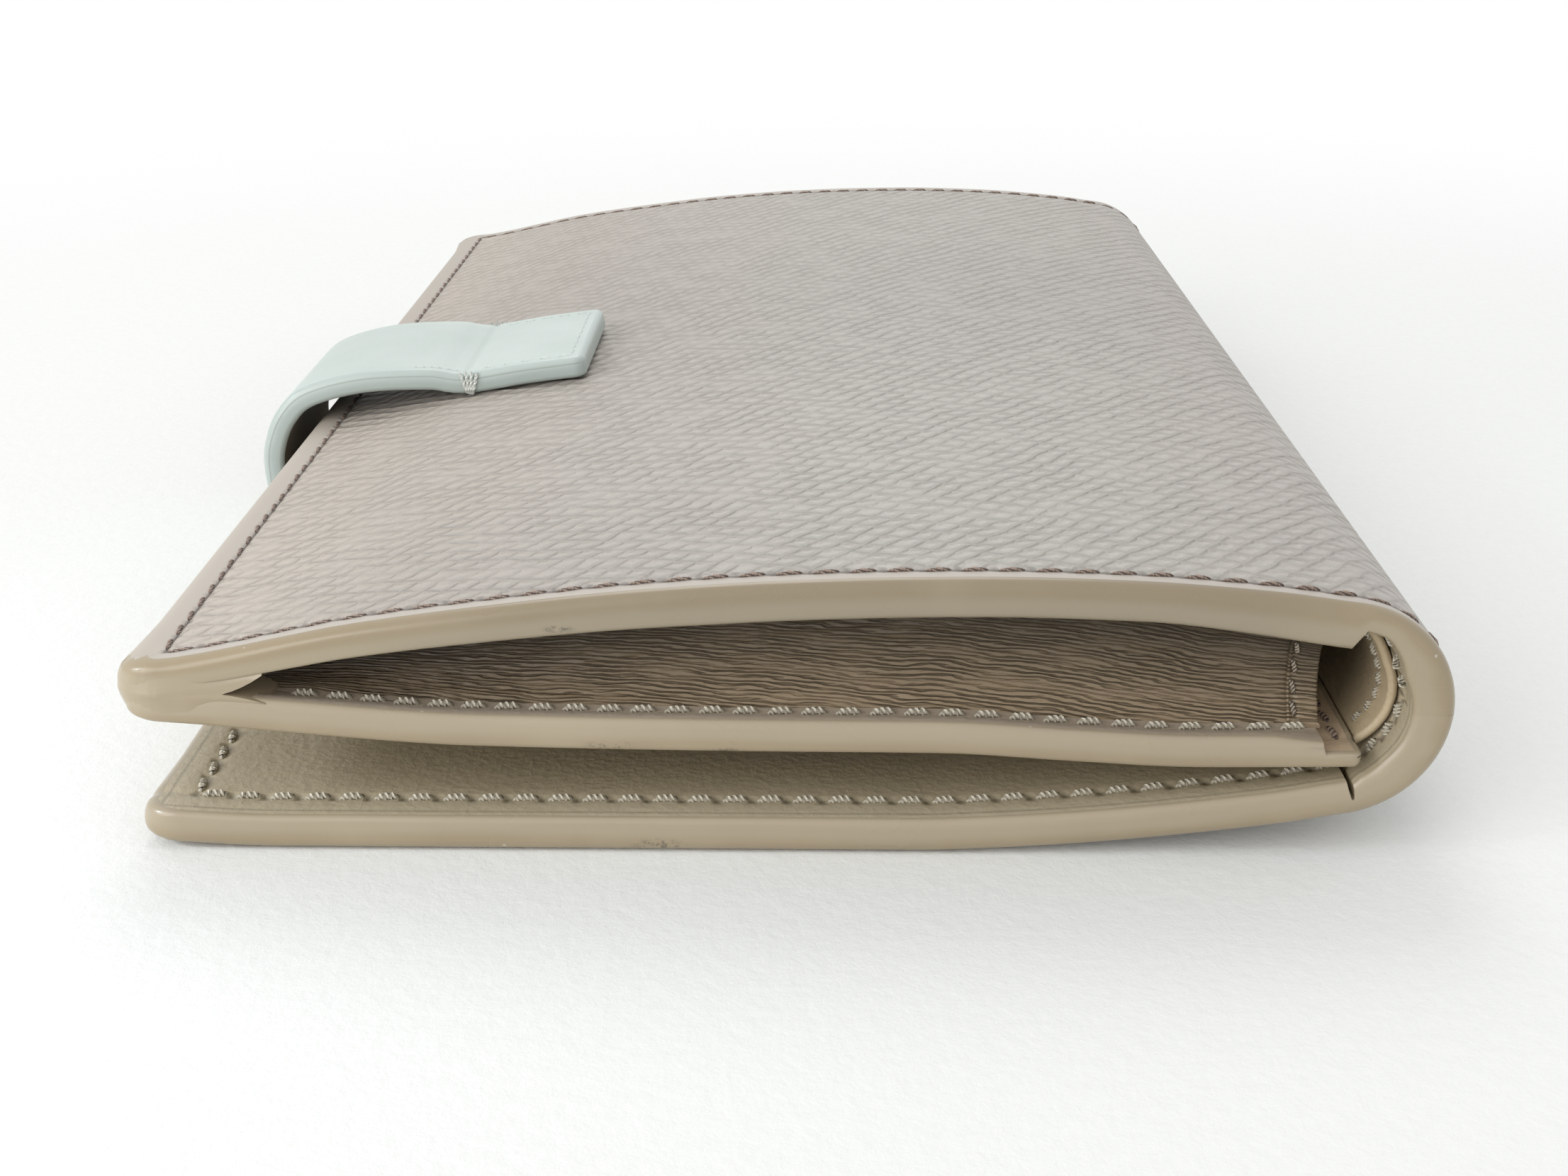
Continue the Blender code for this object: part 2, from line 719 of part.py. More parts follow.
    # Snap: a stud riveted through the front cover and a socket in the strap's lining
    under = strap_hollow_height
    flange_top = under - clearance
    flange_low = flange_top - snap_flange_thickness
    stud = [(0.0, flange_low - snap_head_height), (snap_head_radius, flange_low - snap_head_height),
            (snap_head_radius, flange_low), (snap_flange_radius, flange_low),
            (snap_flange_radius, flange_top), (snap_shaft_radius, flange_top),
            (snap_shaft_radius, under + leather_thickness + clearance / 2),
            (0.0, under + leather_thickness + clearance / 2)]
    place = (snap_place, strap_center, 0.0)
    turned("snap_stud", stud, place, metal, front_pivot)
    washer_low = under + board_depth + clearance / 2
    washer = [(0.0, washer_low), (snap_washer_radius, washer_low),
              (snap_washer_radius, washer_low + board_thickness / 2), (0.0, washer_low + board_thickness / 2)]
    turned("snap_washer", washer, place, metal, front_pivot)
    socket_low = strap_ground_gap + strap_leather_thickness + clearance
    socket = [(snap_socket_bore, socket_low), (snap_socket_radius, socket_low),
              (snap_socket_radius, socket_low + strap_lining_thickness),
              (snap_socket_bore, socket_low + strap_lining_thickness)]
    turned("snap_socket", socket, place, metal, leg_pivot)
    through = under + shell_thickness
    hole_center = (snap_place, strap_center, under + leather_thickness / 2)
    drill(front_leather, hole_center, snap_shaft_radius + clearance, leather_thickness * 2)
    drill(front_board, hole_center, snap_washer_radius + clearance, through)
    drill(strap_pieces["strap_end", "lining"],
          (snap_place, strap_center, socket_low + strap_lining_thickness / 2),
          snap_socket_radius + clearance, strap_lining_thickness + clearance)


build()
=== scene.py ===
import math

import bmesh
import bpy
import numpy as np
from mathutils import Matrix, Vector, noise


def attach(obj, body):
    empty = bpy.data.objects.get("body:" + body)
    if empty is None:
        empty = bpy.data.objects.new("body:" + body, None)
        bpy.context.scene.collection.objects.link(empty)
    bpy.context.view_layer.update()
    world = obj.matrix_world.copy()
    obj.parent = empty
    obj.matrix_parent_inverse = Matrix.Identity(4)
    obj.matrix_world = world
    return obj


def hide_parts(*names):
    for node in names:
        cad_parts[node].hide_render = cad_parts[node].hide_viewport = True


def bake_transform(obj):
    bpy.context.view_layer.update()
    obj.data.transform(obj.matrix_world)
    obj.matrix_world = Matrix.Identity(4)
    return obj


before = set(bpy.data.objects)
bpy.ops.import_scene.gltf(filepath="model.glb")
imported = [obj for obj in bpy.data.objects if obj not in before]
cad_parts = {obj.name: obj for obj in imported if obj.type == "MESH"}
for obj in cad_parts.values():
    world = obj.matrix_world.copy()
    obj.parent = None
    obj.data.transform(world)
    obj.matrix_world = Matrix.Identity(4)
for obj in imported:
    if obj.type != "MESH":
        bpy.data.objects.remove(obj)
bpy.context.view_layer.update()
print("frame loaded")

mm = 0.001
degree = math.pi / 180

# Overall sizes of the closed wallet. It lies on its front cover, with the fore-edge on the left.
wallet = {
    "width": 100 * mm,
    "length": 150 * mm,
    "strapReach": 5.9 * mm,
    "hump": 22.95 * mm,
    "spineHeight": 17.7 * mm,
    "spineLift": 3.35 * mm,
    "cornerRadius": 2.5 * mm,
    "shell": 3.0 * mm,
    "stitchPitch": 2.75 * mm,
}
width, long, hump = (wallet[key] for key in ("width", "length", "hump"))
originX = (width - wallet["strapReach"]) / 2
originY = long / 2
spineRadius = wallet["spineHeight"] / 2
spineX = width - spineRadius
spineZ = wallet["spineLift"] + spineRadius


# Curves

def smoothLine(points, lastSlope=None, steps=14):
    # runs through the points and never swings past them
    x = np.array([p[0] for p in points])
    z = np.array([p[1] for p in points])
    rise = np.diff(z) / np.diff(x)
    slope = np.zeros(len(x))
    slope[0], slope[-1] = rise[0], rise[-1] if lastSlope is None else lastSlope
    for i in range(1, len(x) - 1):
        if rise[i - 1] * rise[i] > 0:
            slope[i] = 2 * rise[i - 1] * rise[i] / (rise[i - 1] + rise[i])
    line = [(x[0], z[0])]
    for i in range(len(x) - 1):
        span = x[i + 1] - x[i]
        for k in range(1, steps + 1):
            t = k / steps
            line.append((x[i] + t * span,
                         (1 + 2 * t) * (1 - t) ** 2 * z[i] + t * (1 - t) ** 2 * span * slope[i]
                         + t * t * (3 - 2 * t) * z[i + 1] + t * t * (t - 1) * span * slope[i + 1]))
    return line


def roundLine(points, steps=14):
    # an even curve through the points
    p = [np.array(q, float) for q in points]
    p = [2 * p[0] - p[1]] + p + [2 * p[-1] - p[-2]]
    line = []
    for i in range(1, len(p) - 2):
        for k in range(steps):
            t = k / steps
            a, b, c, d = p[i - 1], p[i], p[i + 1], p[i + 2]
            line.append(0.5 * (2 * b + (c - a) * t + (2 * a - 5 * b + 4 * c - d) * t * t
                               + (3 * b - a - 3 * c + d) * t ** 3))
    return [tuple(q) for q in line + [p[-2]]]


def onSpine(angle):
    return spineX + spineRadius * math.cos(angle), spineZ + spineRadius * math.sin(angle)


def spineArc(firstAngle, lastAngle):
    return [onSpine(a) for a in np.linspace(firstAngle * degree, lastAngle * degree, 60)]


def fade(t):
    # falls smoothly from 1 at 0 to 0 at 1
    t = min(1.0, max(0.0, t))
    return 1 - t * t * (3 - 2 * t)


def bell(x, width):
    return math.exp(-(x / width) ** 2)


def profileOf(points, inward):
    # the line that a sheet is bent along, with the direction to its inner side
    p = np.array(points)
    step = np.diff(p, axis=0)
    s = np.concatenate([[0.0], np.cumsum(np.hypot(step[:, 0], step[:, 1]))])
    way = np.gradient(p, s, axis=0)
    way /= np.hypot(way[:, 0], way[:, 1])[:, None]
    return {"p": p, "s": s, "n": inward * np.stack([-way[:, 1], way[:, 0]], axis=1), "length": s[-1]}


def pointOn(profile, along, depth=0.0):
    x, z = (np.interp(along, profile["s"], profile["p"][:, k]) for k in (0, 1))
    nx, nz = (np.interp(along, profile["s"], profile["n"][:, k]) for k in (0, 1))
    if along < 0:
        way = (profile["p"][1] - profile["p"][0]) / profile["s"][1]
        x, z = x + along * way[0], z + along * way[1]
    return x + depth * nx, z + depth * nz


def alongAtX(profile, x):
    return float(np.interp(x, profile["p"][:, 0], profile["s"]))


def heightAtX(profile, x, depth):
    line = profile["p"] + depth * profile["n"]
    return float(np.interp(x, line[:, 0], line[:, 1]))


backArc = spineArc(83, 0)
frontArc = spineArc(-81, 0)
backProfile = profileOf(smoothLine(
    [(u * width, v * hump) for u, v in (
        (0.0, 0.690), (0.03, 0.698), (0.065, 0.724), (0.12, 0.777), (0.17, 0.823), (0.28, 0.894),
        (0.39, 0.950), (0.50, 0.984), (0.60, 0.998), (0.65, 1.0), (0.75, 0.989), (0.86, 0.952))]
    + [backArc[0]], -1 / math.tan(83 * degree)) + backArc[1:], -1)
frontProfile = profileOf(smoothLine(
    [(0.0, 0.5 * mm), (0.10 * width, 0.0)]
    + [(u * width, v * wallet["spineLift"]) for u, v in (
        (0.60, 0.0), (0.66, 0.075), (0.715, 0.19), (0.77, 0.35), (0.825, 0.55), (0.88, 0.78))]
    + [frontArc[0]], -1 / math.tan(-81 * degree)) + frontArc[1:], 1)


def backSkive(along):
    # the back cover thins out towards the fore-edge
    return 1 - 0.27 * max(0.0, 1 - along / (45 * mm))


def backThickness(along):
    return wallet["shell"] * backSkive(along) + 0.5 * mm * fade((spineX - along) / (14 * mm))


def underBack(x):
    return heightAtX(backProfile, x, backThickness(alongAtX(backProfile, x)))


def panelSkive(along):
    return 1 - 0.08 * max(0.0, 1 - along / (9 * mm))


panelEnd = width - 6.6 * mm
panelLine = []
for u, v in ((0.0, 0.972), (0.065, 0.878), (0.12, 0.741), (0.28, 0.502), (0.5, 0.412),
             (0.66, 0.39), (0.77, 0.318), (0.87, 0.24), (1.0, 0.114)):
    floorZ = heightAtX(frontProfile, u * panelEnd, wallet["shell"])
    roofZ = underBack(u * panelEnd) - 0.3 * mm - 2.2 * mm * panelSkive(u * panelEnd)
    panelLine.append((u * panelEnd, floorZ + v * (roofZ - floorZ)))
panelProfile = profileOf(smoothLine(panelLine), 1)
stripProfile = profileOf(spineArc(-76, 76), 1)

strap = {
    "width": 20 * mm, "middle": 69 * mm, "thickness": 2.2 * mm, "gap": 0.3 * mm,
    "tailEnd": 28.5 * mm, "seam": 16.2 * mm, "legEnd": 27 * mm, "floorGap": 0.1 * mm,
    "loopRise": 0.36 * mm, "tipRadius": 8 * mm, "cornerRadius": 1.2 * mm, "outerRound": 0.6 * mm,
    "innerRound": 0.5 * mm, "inset": 1.4 * mm, "layerAt": 0.75 * mm,
}
tailLine = [pointOn(backProfile, alongAtX(backProfile, x), -strap["gap"] - strap["thickness"])
            for x in (strap["tailEnd"], (strap["tailEnd"] + strap["seam"]) / 2, strap["seam"])]
loopHeight = tailLine[-1][1] + strap["loopRise"]
loopLine = [(u * wallet["strapReach"], v * loopHeight) for u, v in (
    (2.05, 1.0), (0.83, 0.982), (-0.19, 0.905), (-0.68, 0.785), (-0.94, 0.63), (-1.0, 0.49),
    (-0.92, 0.335), (-0.55, 0.135), (0.15, 0.025))]
legLine = [(x, strap["floorGap"]) for x in (
    wallet["strapReach"], (wallet["strapReach"] + strap["legEnd"]) / 2, strap["legEnd"])]
strapProfile = profileOf(roundLine(tailLine + loopLine + legLine), 1)


def spineShare(shares, profile, along):
    # a share of the cover's thickness, from a table of angles round the spine
    x, z = pointOn(profile, along)
    angle = math.atan2(z - spineZ, x - spineX) / degree
    return float(np.interp(angle, [a for a, b in shares], [b for a, b in shares]))


def frontLift(x, y):
    # the front cover stands up over the strap's leg
    across = abs(y - strap["middle"]) - strap["width"] / 2 - 2 * mm
    along = x - strap["legEnd"] - 2 * mm
    return 3.2 * mm * fade(across / (30 * mm)) * fade(along / (30 * mm))


# Sheets are cut flat, edged and sliced, and then bent along a profile

def vertsIn(made):
    return [g for g in made["geom"] if isinstance(g, bmesh.types.BMVert)]


def turnVerts(bm, verts, angle, axis):
    bmesh.ops.rotate(bm, verts=verts, cent=(0, 0, 0), matrix=Matrix.Rotation(angle, 3, axis))


def sliceAt(bm, axis, cut, **clearing):
    normal = Vector([float(k == axis) for k in range(3)])
    bmesh.ops.bisect_plane(bm, geom=bm.verts[:] + bm.edges[:] + bm.faces[:], dist=1e-7, plane_co=normal * cut,
                           plane_no=normal, **clearing)


def cutSheet(low, high, thickness, corner=0.0, endCorner=0.0, outerRound=0.0, innerRound=0.0,
             trimAt=None, keepAfter=False, alongCuts=(), acrossCuts=(), depthCuts=()):
    # low and high are flat (along, across) corners. Depth runs up from the outer face.
    bm = bmesh.new()
    bmesh.ops.create_grid(bm, x_segments=1, y_segments=1, size=0.5)
    bmesh.ops.scale(bm, verts=bm.verts, vec=(high[0] - low[0], high[1] - low[1], 1))
    bmesh.ops.translate(bm, verts=bm.verts, vec=((low[0] + high[0]) / 2, (low[1] + high[1]) / 2, 0))
    for radius, end in ((corner, low[0]), (endCorner, high[0])):
        if radius:
            bmesh.ops.bevel(bm, geom=[v for v in bm.verts if abs(v.co.x - end) < 1e-7], offset=radius,
                            offset_type="OFFSET", segments=8, profile=0.5, affect="VERTICES", material=-1)
    raised = bmesh.ops.extrude_face_region(bm, geom=bm.faces[:])
    bmesh.ops.translate(bm, verts=vertsIn(raised), vec=(0, 0, thickness))
    loose = [e for e in bm.edges if e.is_boundary]
    if loose:
        bmesh.ops.holes_fill(bm, edges=loose)
    for level, radius in ((0.0, outerRound), (thickness, innerRound)):
        if radius:
            rim = [e for e in bm.edges if all(abs(v.co.z - level) < 1e-7 for v in e.verts)]
            bmesh.ops.bevel(bm, geom=rim, offset=radius, offset_type="OFFSET", segments=5, profile=0.5,
                            affect="EDGES", clamp_overlap=True, material=-1)
    if trimAt is not None:
        sliceAt(bm, 0, trimAt, clear_inner=keepAfter, clear_outer=not keepAfter)
        bmesh.ops.holes_fill(bm, edges=[e for e in bm.edges if e.is_boundary])
    for axis, cuts in enumerate((alongCuts, acrossCuts, depthCuts)):
        for cut in cuts:
            sliceAt(bm, axis, cut)
    bmesh.ops.recalc_face_normals(bm, faces=bm.faces)
    return bm


def nameFaces(bm, thickness, turned=0.0):
    # The outer face, the painted edge and the inner face have a material each.
    # At the fore-edge the outer leather goes on round the shoulder, down to the turned depth.
    for face in bm.faces:
        depths = [v.co.z for v in face.verts]
        middle = face.calc_center_median()
        away = min(1.0, (originY - 1.0 * mm - abs(middle.y - originY)) / (3 * mm))
        if max(depths) < 0.02 * mm or (middle.x < 1 * mm and middle.z < turned * away):
            face.material_index = 0
        else:
            face.material_index = 2 if min(depths) > thickness - 0.02 * mm else 1


def keepFlat(bm, placeOf):
    # the flat places are kept as a UV map, where 1 is 100 mm
    flat = bm.loops.layers.uv.new("flat")
    for face in bm.faces:
        for loop in face.loops:
            loop[flat].uv = placeOf(loop.vert.co)


def bendOnto(bm, profile, depthOf=None, liftOf=None, shiftOf=None, thickness=1.0):
    # the depth is kept as an attribute from 0 to 1
    keepFlat(bm, lambda place: (place.x / (100 * mm), place.y / (100 * mm)))
    layer = bm.verts.layers.float.new("depthShare")
    for vert in bm.verts:
        along, across, depth = vert.co
        vert[layer] = depth / thickness
        shownDepth = depthOf(along, across, depth) if depthOf else depth
        if shiftOf:
            along, across = shiftOf(along, across, depth)
        x, z = pointOn(profile, along, shownDepth)
        if liftOf:
            z += liftOf(x, across)
        vert.co = (x - originX, across - originY, z)
    bmesh.ops.recalc_face_normals(bm, faces=bm.faces)
    return bm


def sideAway(across):
    return min(across, long - across)


def coatAt(across, coat):
    # the coat of paint is thickest round the corners
    return coat * (0.38 + 0.62 * fade((sideAway(across) - 1 * mm) / (9 * mm)))


def edgeShift(middle, half, pull, coat):
    # The fore-edge is rounded about a middle depth, under a thick coat. No painted edge is quite even.
    def shift(along, across, depth):
        if not 0.02 * mm < across < long - 0.02 * mm:
            wave = 0.05 * noise.noise(Vector((along * 90, depth * 300, across))) + \
                0.03 * noise.noise(Vector((along * 400, depth * 500, across + 3)))
            across += wave * mm if across > originY else -wave * mm
        full = math.sqrt(1 - min(1.0, abs(depth - middle) / half) ** 2)
        return along + (pull * (1 - full) - coatAt(across, coat) * full) * fade(along / (3.6 * mm)), across
    return shift


def putInScene(name, data):
    thing = bpy.data.objects.new(name, data)
    bpy.context.scene.collection.objects.link(thing)
    return thing


def makePiece(name, bm, finishes, smoothUnder=42):
    mesh = bpy.data.meshes.new(name)
    bm.to_mesh(mesh)
    bm.free()
    for finish in finishes:
        mesh.materials.append(finish)
    mesh.shade_smooth()
    mesh.set_sharp_from_angle(angle=smoothUnder * degree)
    return putInScene(name, mesh)


def evenCuts(low, high, step):
    count = max(1, round((high - low) / step))
    return [low + (high - low) * k / count for k in range(1, count)]


def grooveCuts(inset):
    # close together where the stitches press a groove
    return [inset + d * mm for d in (-1.4, -0.9, -0.5, -0.2, 0.2, 0.5, 0.9, 1.6)]


def rowCuts(inset):
    near = grooveCuts(inset)
    return near + [long - n for n in near] + evenCuts(near[-1], long - near[-1], 5 * mm)


# Thread

def threadShape(bm, length, thickness, arch, twist=52, steps=14):
    # one short stitch of two-ply thread along x, arched so that both ends go into the leather
    lobe = bm.verts.layers.float.new("lobe")
    made = bmesh.ops.create_circle(bm, cap_ends=True, segments=4, radius=thickness / 2)
    bmesh.ops.scale(bm, verts=made["verts"], vec=(1.0, 0.74, 1.0))
    cap = [f for f in bm.faces if made["verts"][0] in f.verts]
    every = list(made["verts"])
    for step in range(steps):
        grown = bmesh.ops.extrude_face_region(bm, geom=cap)
        ring = vertsIn(grown)
        bmesh.ops.translate(bm, verts=ring, vec=(0, 0, length / steps))
        turnVerts(bm, ring, twist * degree, "Z")
        cap = [g for g in grown["geom"] if isinstance(g, bmesh.types.BMFace)]
        every += ring
    turnVerts(bm, every, 90 * degree, "Y")
    for v in every:
        t = min(1.0, max(-1.0, 2 * v.co.x / length - 1))
        # lobe is painted shade: low in the grooves between the plies and towards the ends
        v[lobe] = (2 * math.hypot(v.co.y, v.co.z) / thickness - 0.74) / 0.26 * (1 - 0.7 * t ** 4)
        slim = 1 - 0.6 * t ** 4
        v.co.x -= length / 2
        v.co.y *= slim
        v.co.z = v.co.z * slim + arch * (1 - t ** 4)
    return every


def copyThread(bm, template):
    # each edge and face once, in the same order each run
    edges = dict.fromkeys(e for v in template for e in v.link_edges)
    faces = dict.fromkeys(f for v in template for f in v.link_faces)
    return vertsIn(bmesh.ops.duplicate(bm, geom=[*edges, *faces, *template]))


def linePlaces(points, pitch, slant, seed):
    # stitch places along flat lines: (along, across, turn)
    places = []
    for k in range(len(points) - 1):
        a, b = Vector(points[k]), Vector(points[k + 1])
        reach = (b - a).length
        count = max(1, round(reach / pitch))
        turn = math.atan2(b.y - a.y, b.x - a.x)
        for n in range(count):
            wander = [noise.noise(Vector((seed + 0.4 + 11.3 * axis, k * 7.3 + 0.6, n * 1.7)))
                      for axis in range(3)]
            place = a + (b - a) * ((n + 0.5) / count)
            places.append((place.x + wander[0] * 0.06 * mm, place.y + wander[1] * 0.06 * mm,
                           turn + (slant + 3 * wander[2]) * degree))
    return places


def sew(places, depth, side, length=2.0 * mm, thickness=0.66 * mm, arch=0.23 * mm, **twisting):
    # side is 1 for stitches on the inner face and -1 for the outer face
    bm = bmesh.new()
    template = threadShape(bm, length, thickness, arch, **twisting)
    for along, across, turn in places:
        verts = copyThread(bm, template)
        bmesh.ops.scale(bm, verts=verts, vec=(1, 1, side))
        turnVerts(bm, verts, turn, "Z")
        bmesh.ops.translate(bm, verts=verts, vec=(along, across, depth))
    bmesh.ops.delete(bm, geom=template, context="VERTS")
    return bm


# Materials. A wire is a node's output that works in sums, where each operation adds its node.

class Wire:
    def __init__(self, tree, socket):
        self.tree, self.socket = tree, socket

    def math(self, operation, *others, **settings):
        return addNode(self.tree, "Math", self, *others, operation=operation, **settings)

    def __add__(self, other):
        return self.math("ADD", other)

    def __sub__(self, other):
        return self.math("SUBTRACT", other)

    def __rsub__(self, other):
        return addNode(self.tree, "Math", other, self, operation="SUBTRACT")

    def __mul__(self, other):
        return self.math("MULTIPLY", other)

    def ranged(self, low, high, toLow=0.0, toHigh=1.0, kind="SMOOTHSTEP"):
        return addNode(self.tree, "MapRange", self, low, high, toLow, toHigh, interpolation_type=kind)

    def near(self, width):
        return 1.0 - self.ranged(0.0, width)

    def ridges(self):
        # from 0 to 1 and back over each unit
        return self.math("PINGPONG", 0.5) * 2.0


def plug(value, socket):
    if isinstance(value, Wire):
        value.tree.links.new(value.socket, socket)
    elif isinstance(value, tuple) and len(value) < len(socket.default_value):
        socket.default_value = (*value, 1.0)
    else:
        socket.default_value = value


def feed(node, values):
    for key, value in values.items():
        plug(value, node.inputs[key])


def addNode(tree, kind, *inputs, output=0, **values):
    # values are the node's settings or its inputs by name
    node = tree.nodes.new("ShaderNode" + kind)
    settings = [key for key in values if hasattr(node, key)]
    for key in settings:
        setattr(node, key, values[key])
    feed(node, dict(enumerate(inputs)))
    feed(node, {key: value for key, value in values.items() if key not in settings})
    return Wire(tree, node.outputs[output])


def vectorMath(operation, vector, *others, **values):
    return addNode(vector.tree, "VectorMath", vector, *others, operation=operation, **values)


def split(vector):
    sockets = addNode(vector.tree, "SeparateXYZ", vector).socket.node.outputs
    return [Wire(vector.tree, socket) for socket in sockets]


def mixTones(share, a, b, blend="MIX"):
    tree = next(value.tree for value in (share, a, b) if isinstance(value, Wire))
    node = tree.nodes.new("ShaderNodeMix")
    node.data_type, node.blend_type = "RGBA", blend
    feed(node, {0: share, 6: a, 7: b})  # its colour sockets are the sixth, the seventh and the second
    return Wire(tree, node.outputs[2])


def noiseOn(where, scale, detail=2.0, roughness=0.5, stretch=None, output="Fac"):
    if stretch:
        where = addNode(where.tree, "Mapping", where, Scale=stretch)
    return addNode(where.tree, "TexNoise", Vector=where, Scale=scale, Detail=detail, Roughness=roughness,
                   output=output)


def addBump(shader, height, strength, distance):
    bump = addNode(height.tree, "Bump", Height=height, Strength=strength, Distance=distance)
    plug(bump, shader.inputs["Normal"])


def newFinish(name, roughness, **values):
    finish = bpy.data.materials.new(name)
    finish.use_nodes = True
    shader = finish.node_tree.nodes["Principled BSDF"]
    feed(shader, {"Roughness": roughness, **values})
    return finish, finish.node_tree, shader


def flatPlace(tree):
    return addNode(tree, "UVMap", uv_map="flat")


def solidPlace(tree):
    return addNode(tree, "TexCoord", output="Object")


def newGroup(name, numbers, results):
    group = bpy.data.node_groups.new(name, "ShaderNodeTree")
    addSocket = group.interface.new_socket
    addSocket(name="Vector", in_out="INPUT", socket_type="NodeSocketVector")
    for key, value in numbers.items():
        addSocket(name=key, in_out="INPUT", socket_type="NodeSocketFloat").default_value = value
    for key in results:
        addSocket(name=key, in_out="OUTPUT", socket_type="NodeSocketFloat")
    given = group.nodes.new("NodeGroupInput").outputs
    wires = [Wire(group, given[key]) for key in ("Vector", *numbers)]
    return group, group.nodes.new("NodeGroupOutput"), *wires


def useGroup(group, where, **values):
    node = where.tree.nodes.new("ShaderNodeGroup")
    node.node_tree = group
    feed(node, {"Vector": where, **values})
    return {socket.name: Wire(where.tree, socket) for socket in node.outputs}


def grainGroup():
    # pressed grain: long slanting furrows and shorter creases across them, which part small pillows
    group, result, vector, wander = newGroup("pressedGrain", {"Wander": 0.0075}, ("Height", "Furrow"))
    place = vector
    for scale, share in ((11.0, 1.0), (48.0, 0.42)):
        wobble = vectorMath("SUBTRACT", noiseOn(vector, scale, output="Color"), (0.5, 0.5, 0.5))
        place = vectorMath("ADD", place, vectorMath("SCALE", wobble, Scale=wander * (share * 2)))
    sets = []
    for angle, gap, width, patchScale, weakest in (
            (50, 0.0165, 0.55, 16.0, 0.60), (-15, 0.0185, 0.60, 34.0, 0.42)):
        way = (-math.sin(angle * degree) / gap, math.cos(angle * degree) / gap, 0)
        away = vectorMath("DOT_PRODUCT", place, way, output="Value").ridges()
        depth = noiseOn(vector, patchScale, 1.0).ranged(0.36, 0.60, weakest, 1.0)
        sets.append((away.near(width) * depth, away.ranged(0.0, 0.9, kind="LINEAR") * depth))
    furrow = sets[0][0].math("MAXIMUM", sets[1][0])
    pillow = sets[0][1] + sets[1][1]
    fine = noiseOn(vector, 330.0, 3.0, 0.65) * 0.22
    feed(result, {"Height": pillow * 0.45 - furrow * 0.55 + fine, "Furrow": furrow})
    return group


def skinGroup():
    # smooth calf: fine pores and soft cloudy tone
    group, result, vector, scale = newGroup("calfSkin", {"Scale": 120.0}, ("Height", "Cloud"))
    pores = addNode(group, "TexVoronoi", feature="F1", Vector=vector, Scale=scale, Randomness=1.0)
    grit = noiseOn(vector, scale * 1.7, 4.0, 0.6)
    feed(result, {"Height": pores * 0.6 + grit, "Cloud": noiseOn(vector, 6.0, 3.0)})
    return group


def seamGroup():
    # how close a flat place is to the stitch line, and the dents that the thread pulls there
    group, result, vector, inset, pitch, length = newGroup(
        "seamPull", {"Inset": 0.025, "Pitch": 0.0275, "Length": 1.5}, ("Dent", "Field", "Line", "Edge"))
    along, across, _ = split(vector)
    nearest = across.math("MINIMUM", length - across)
    edge = nearest.math("MINIMUM", along)
    dents, lines = [], []
    for away, run, side in ((nearest, along, along), (along, across, nearest)):
        offset = (away - inset).math("ABSOLUTE")
        hole = (run - inset).math("DIVIDE", pitch).ridges().near(0.38)
        dents.append(offset.near(0.0075) * hole * side.math("GREATER_THAN", inset - 0.004))
        lines.append(offset.near(0.0022) * side.math("GREATER_THAN", inset - 0.002))
    feed(result, {"Dent": dents[0].math("MAXIMUM", dents[1]), "Line": lines[0].math("MAXIMUM", lines[1]),
                  "Field": (edge - inset).ranged(-0.004, 0.006), "Edge": edge})
    return group


pressedGrain, calfSkin, seamPull = grainGroup(), skinGroup(), seamGroup()


def grainedFinish():
    finish, tree, shader = newFinish("grainedLeather", 0.5)
    flat = flatPlace(tree)
    grain, seam = useGroup(pressedGrain, flat), useGroup(seamPull, flat)
    along, field = split(flat)[0], seam["Field"]
    furrow = grain["Furrow"] * field
    cloud = noiseOn(solidPlace(tree), 14.0, 3.0).ranged(0.3, 0.7)
    tone = mixTones(cloud, (0.385, 0.362, 0.326), (0.420, 0.395, 0.352))
    tone = mixTones(along.ranged(0.72, 1.02, 0.0, 0.55), tone, (0.428, 0.378, 0.338))
    # painted light: the leather is lighter and warmer towards the fore-edge, as if lit from the left
    tone = mixTones(0.55 - along.ranged(0.0, 0.22, 0.0, 0.55), tone, (0.480, 0.446, 0.386))
    paintedLightTint = mixTones(along.ranged(0.08, 0.62), (1.0, 0.945, 0.915), (0.975, 0.975, 0.98))
    tone = mixTones(1.0, tone, paintedLightTint, "MULTIPLY")
    # painted shade: the grain's furrows are darkened in colour
    tone = mixTones(furrow * 0.23, tone, (0.250, 0.226, 0.198))
    tone = mixTones(field, (0.432, 0.388, 0.338), tone)
    tone = mixTones(along.ranged(0.004, 0.034, 0.65, 0.0), tone, (0.400, 0.345, 0.285))
    # painted shade in the stitch holes and along the stitch groove
    dentShade = (seam["Dent"] * 0.35).math("MAXIMUM", seam["Line"] * 0.75)
    tone = mixTones(dentShade, tone, (0.165, 0.125, 0.105))
    feed(shader, {"Base Color": tone, "Roughness": furrow.ranged(0.0, 1.0, 0.44, 0.60)})
    addBump(shader, grain["Height"] * field - (seam["Dent"] * 0.9 + seam["Line"] * 0.8), 1.0, 0.00031)
    return finish


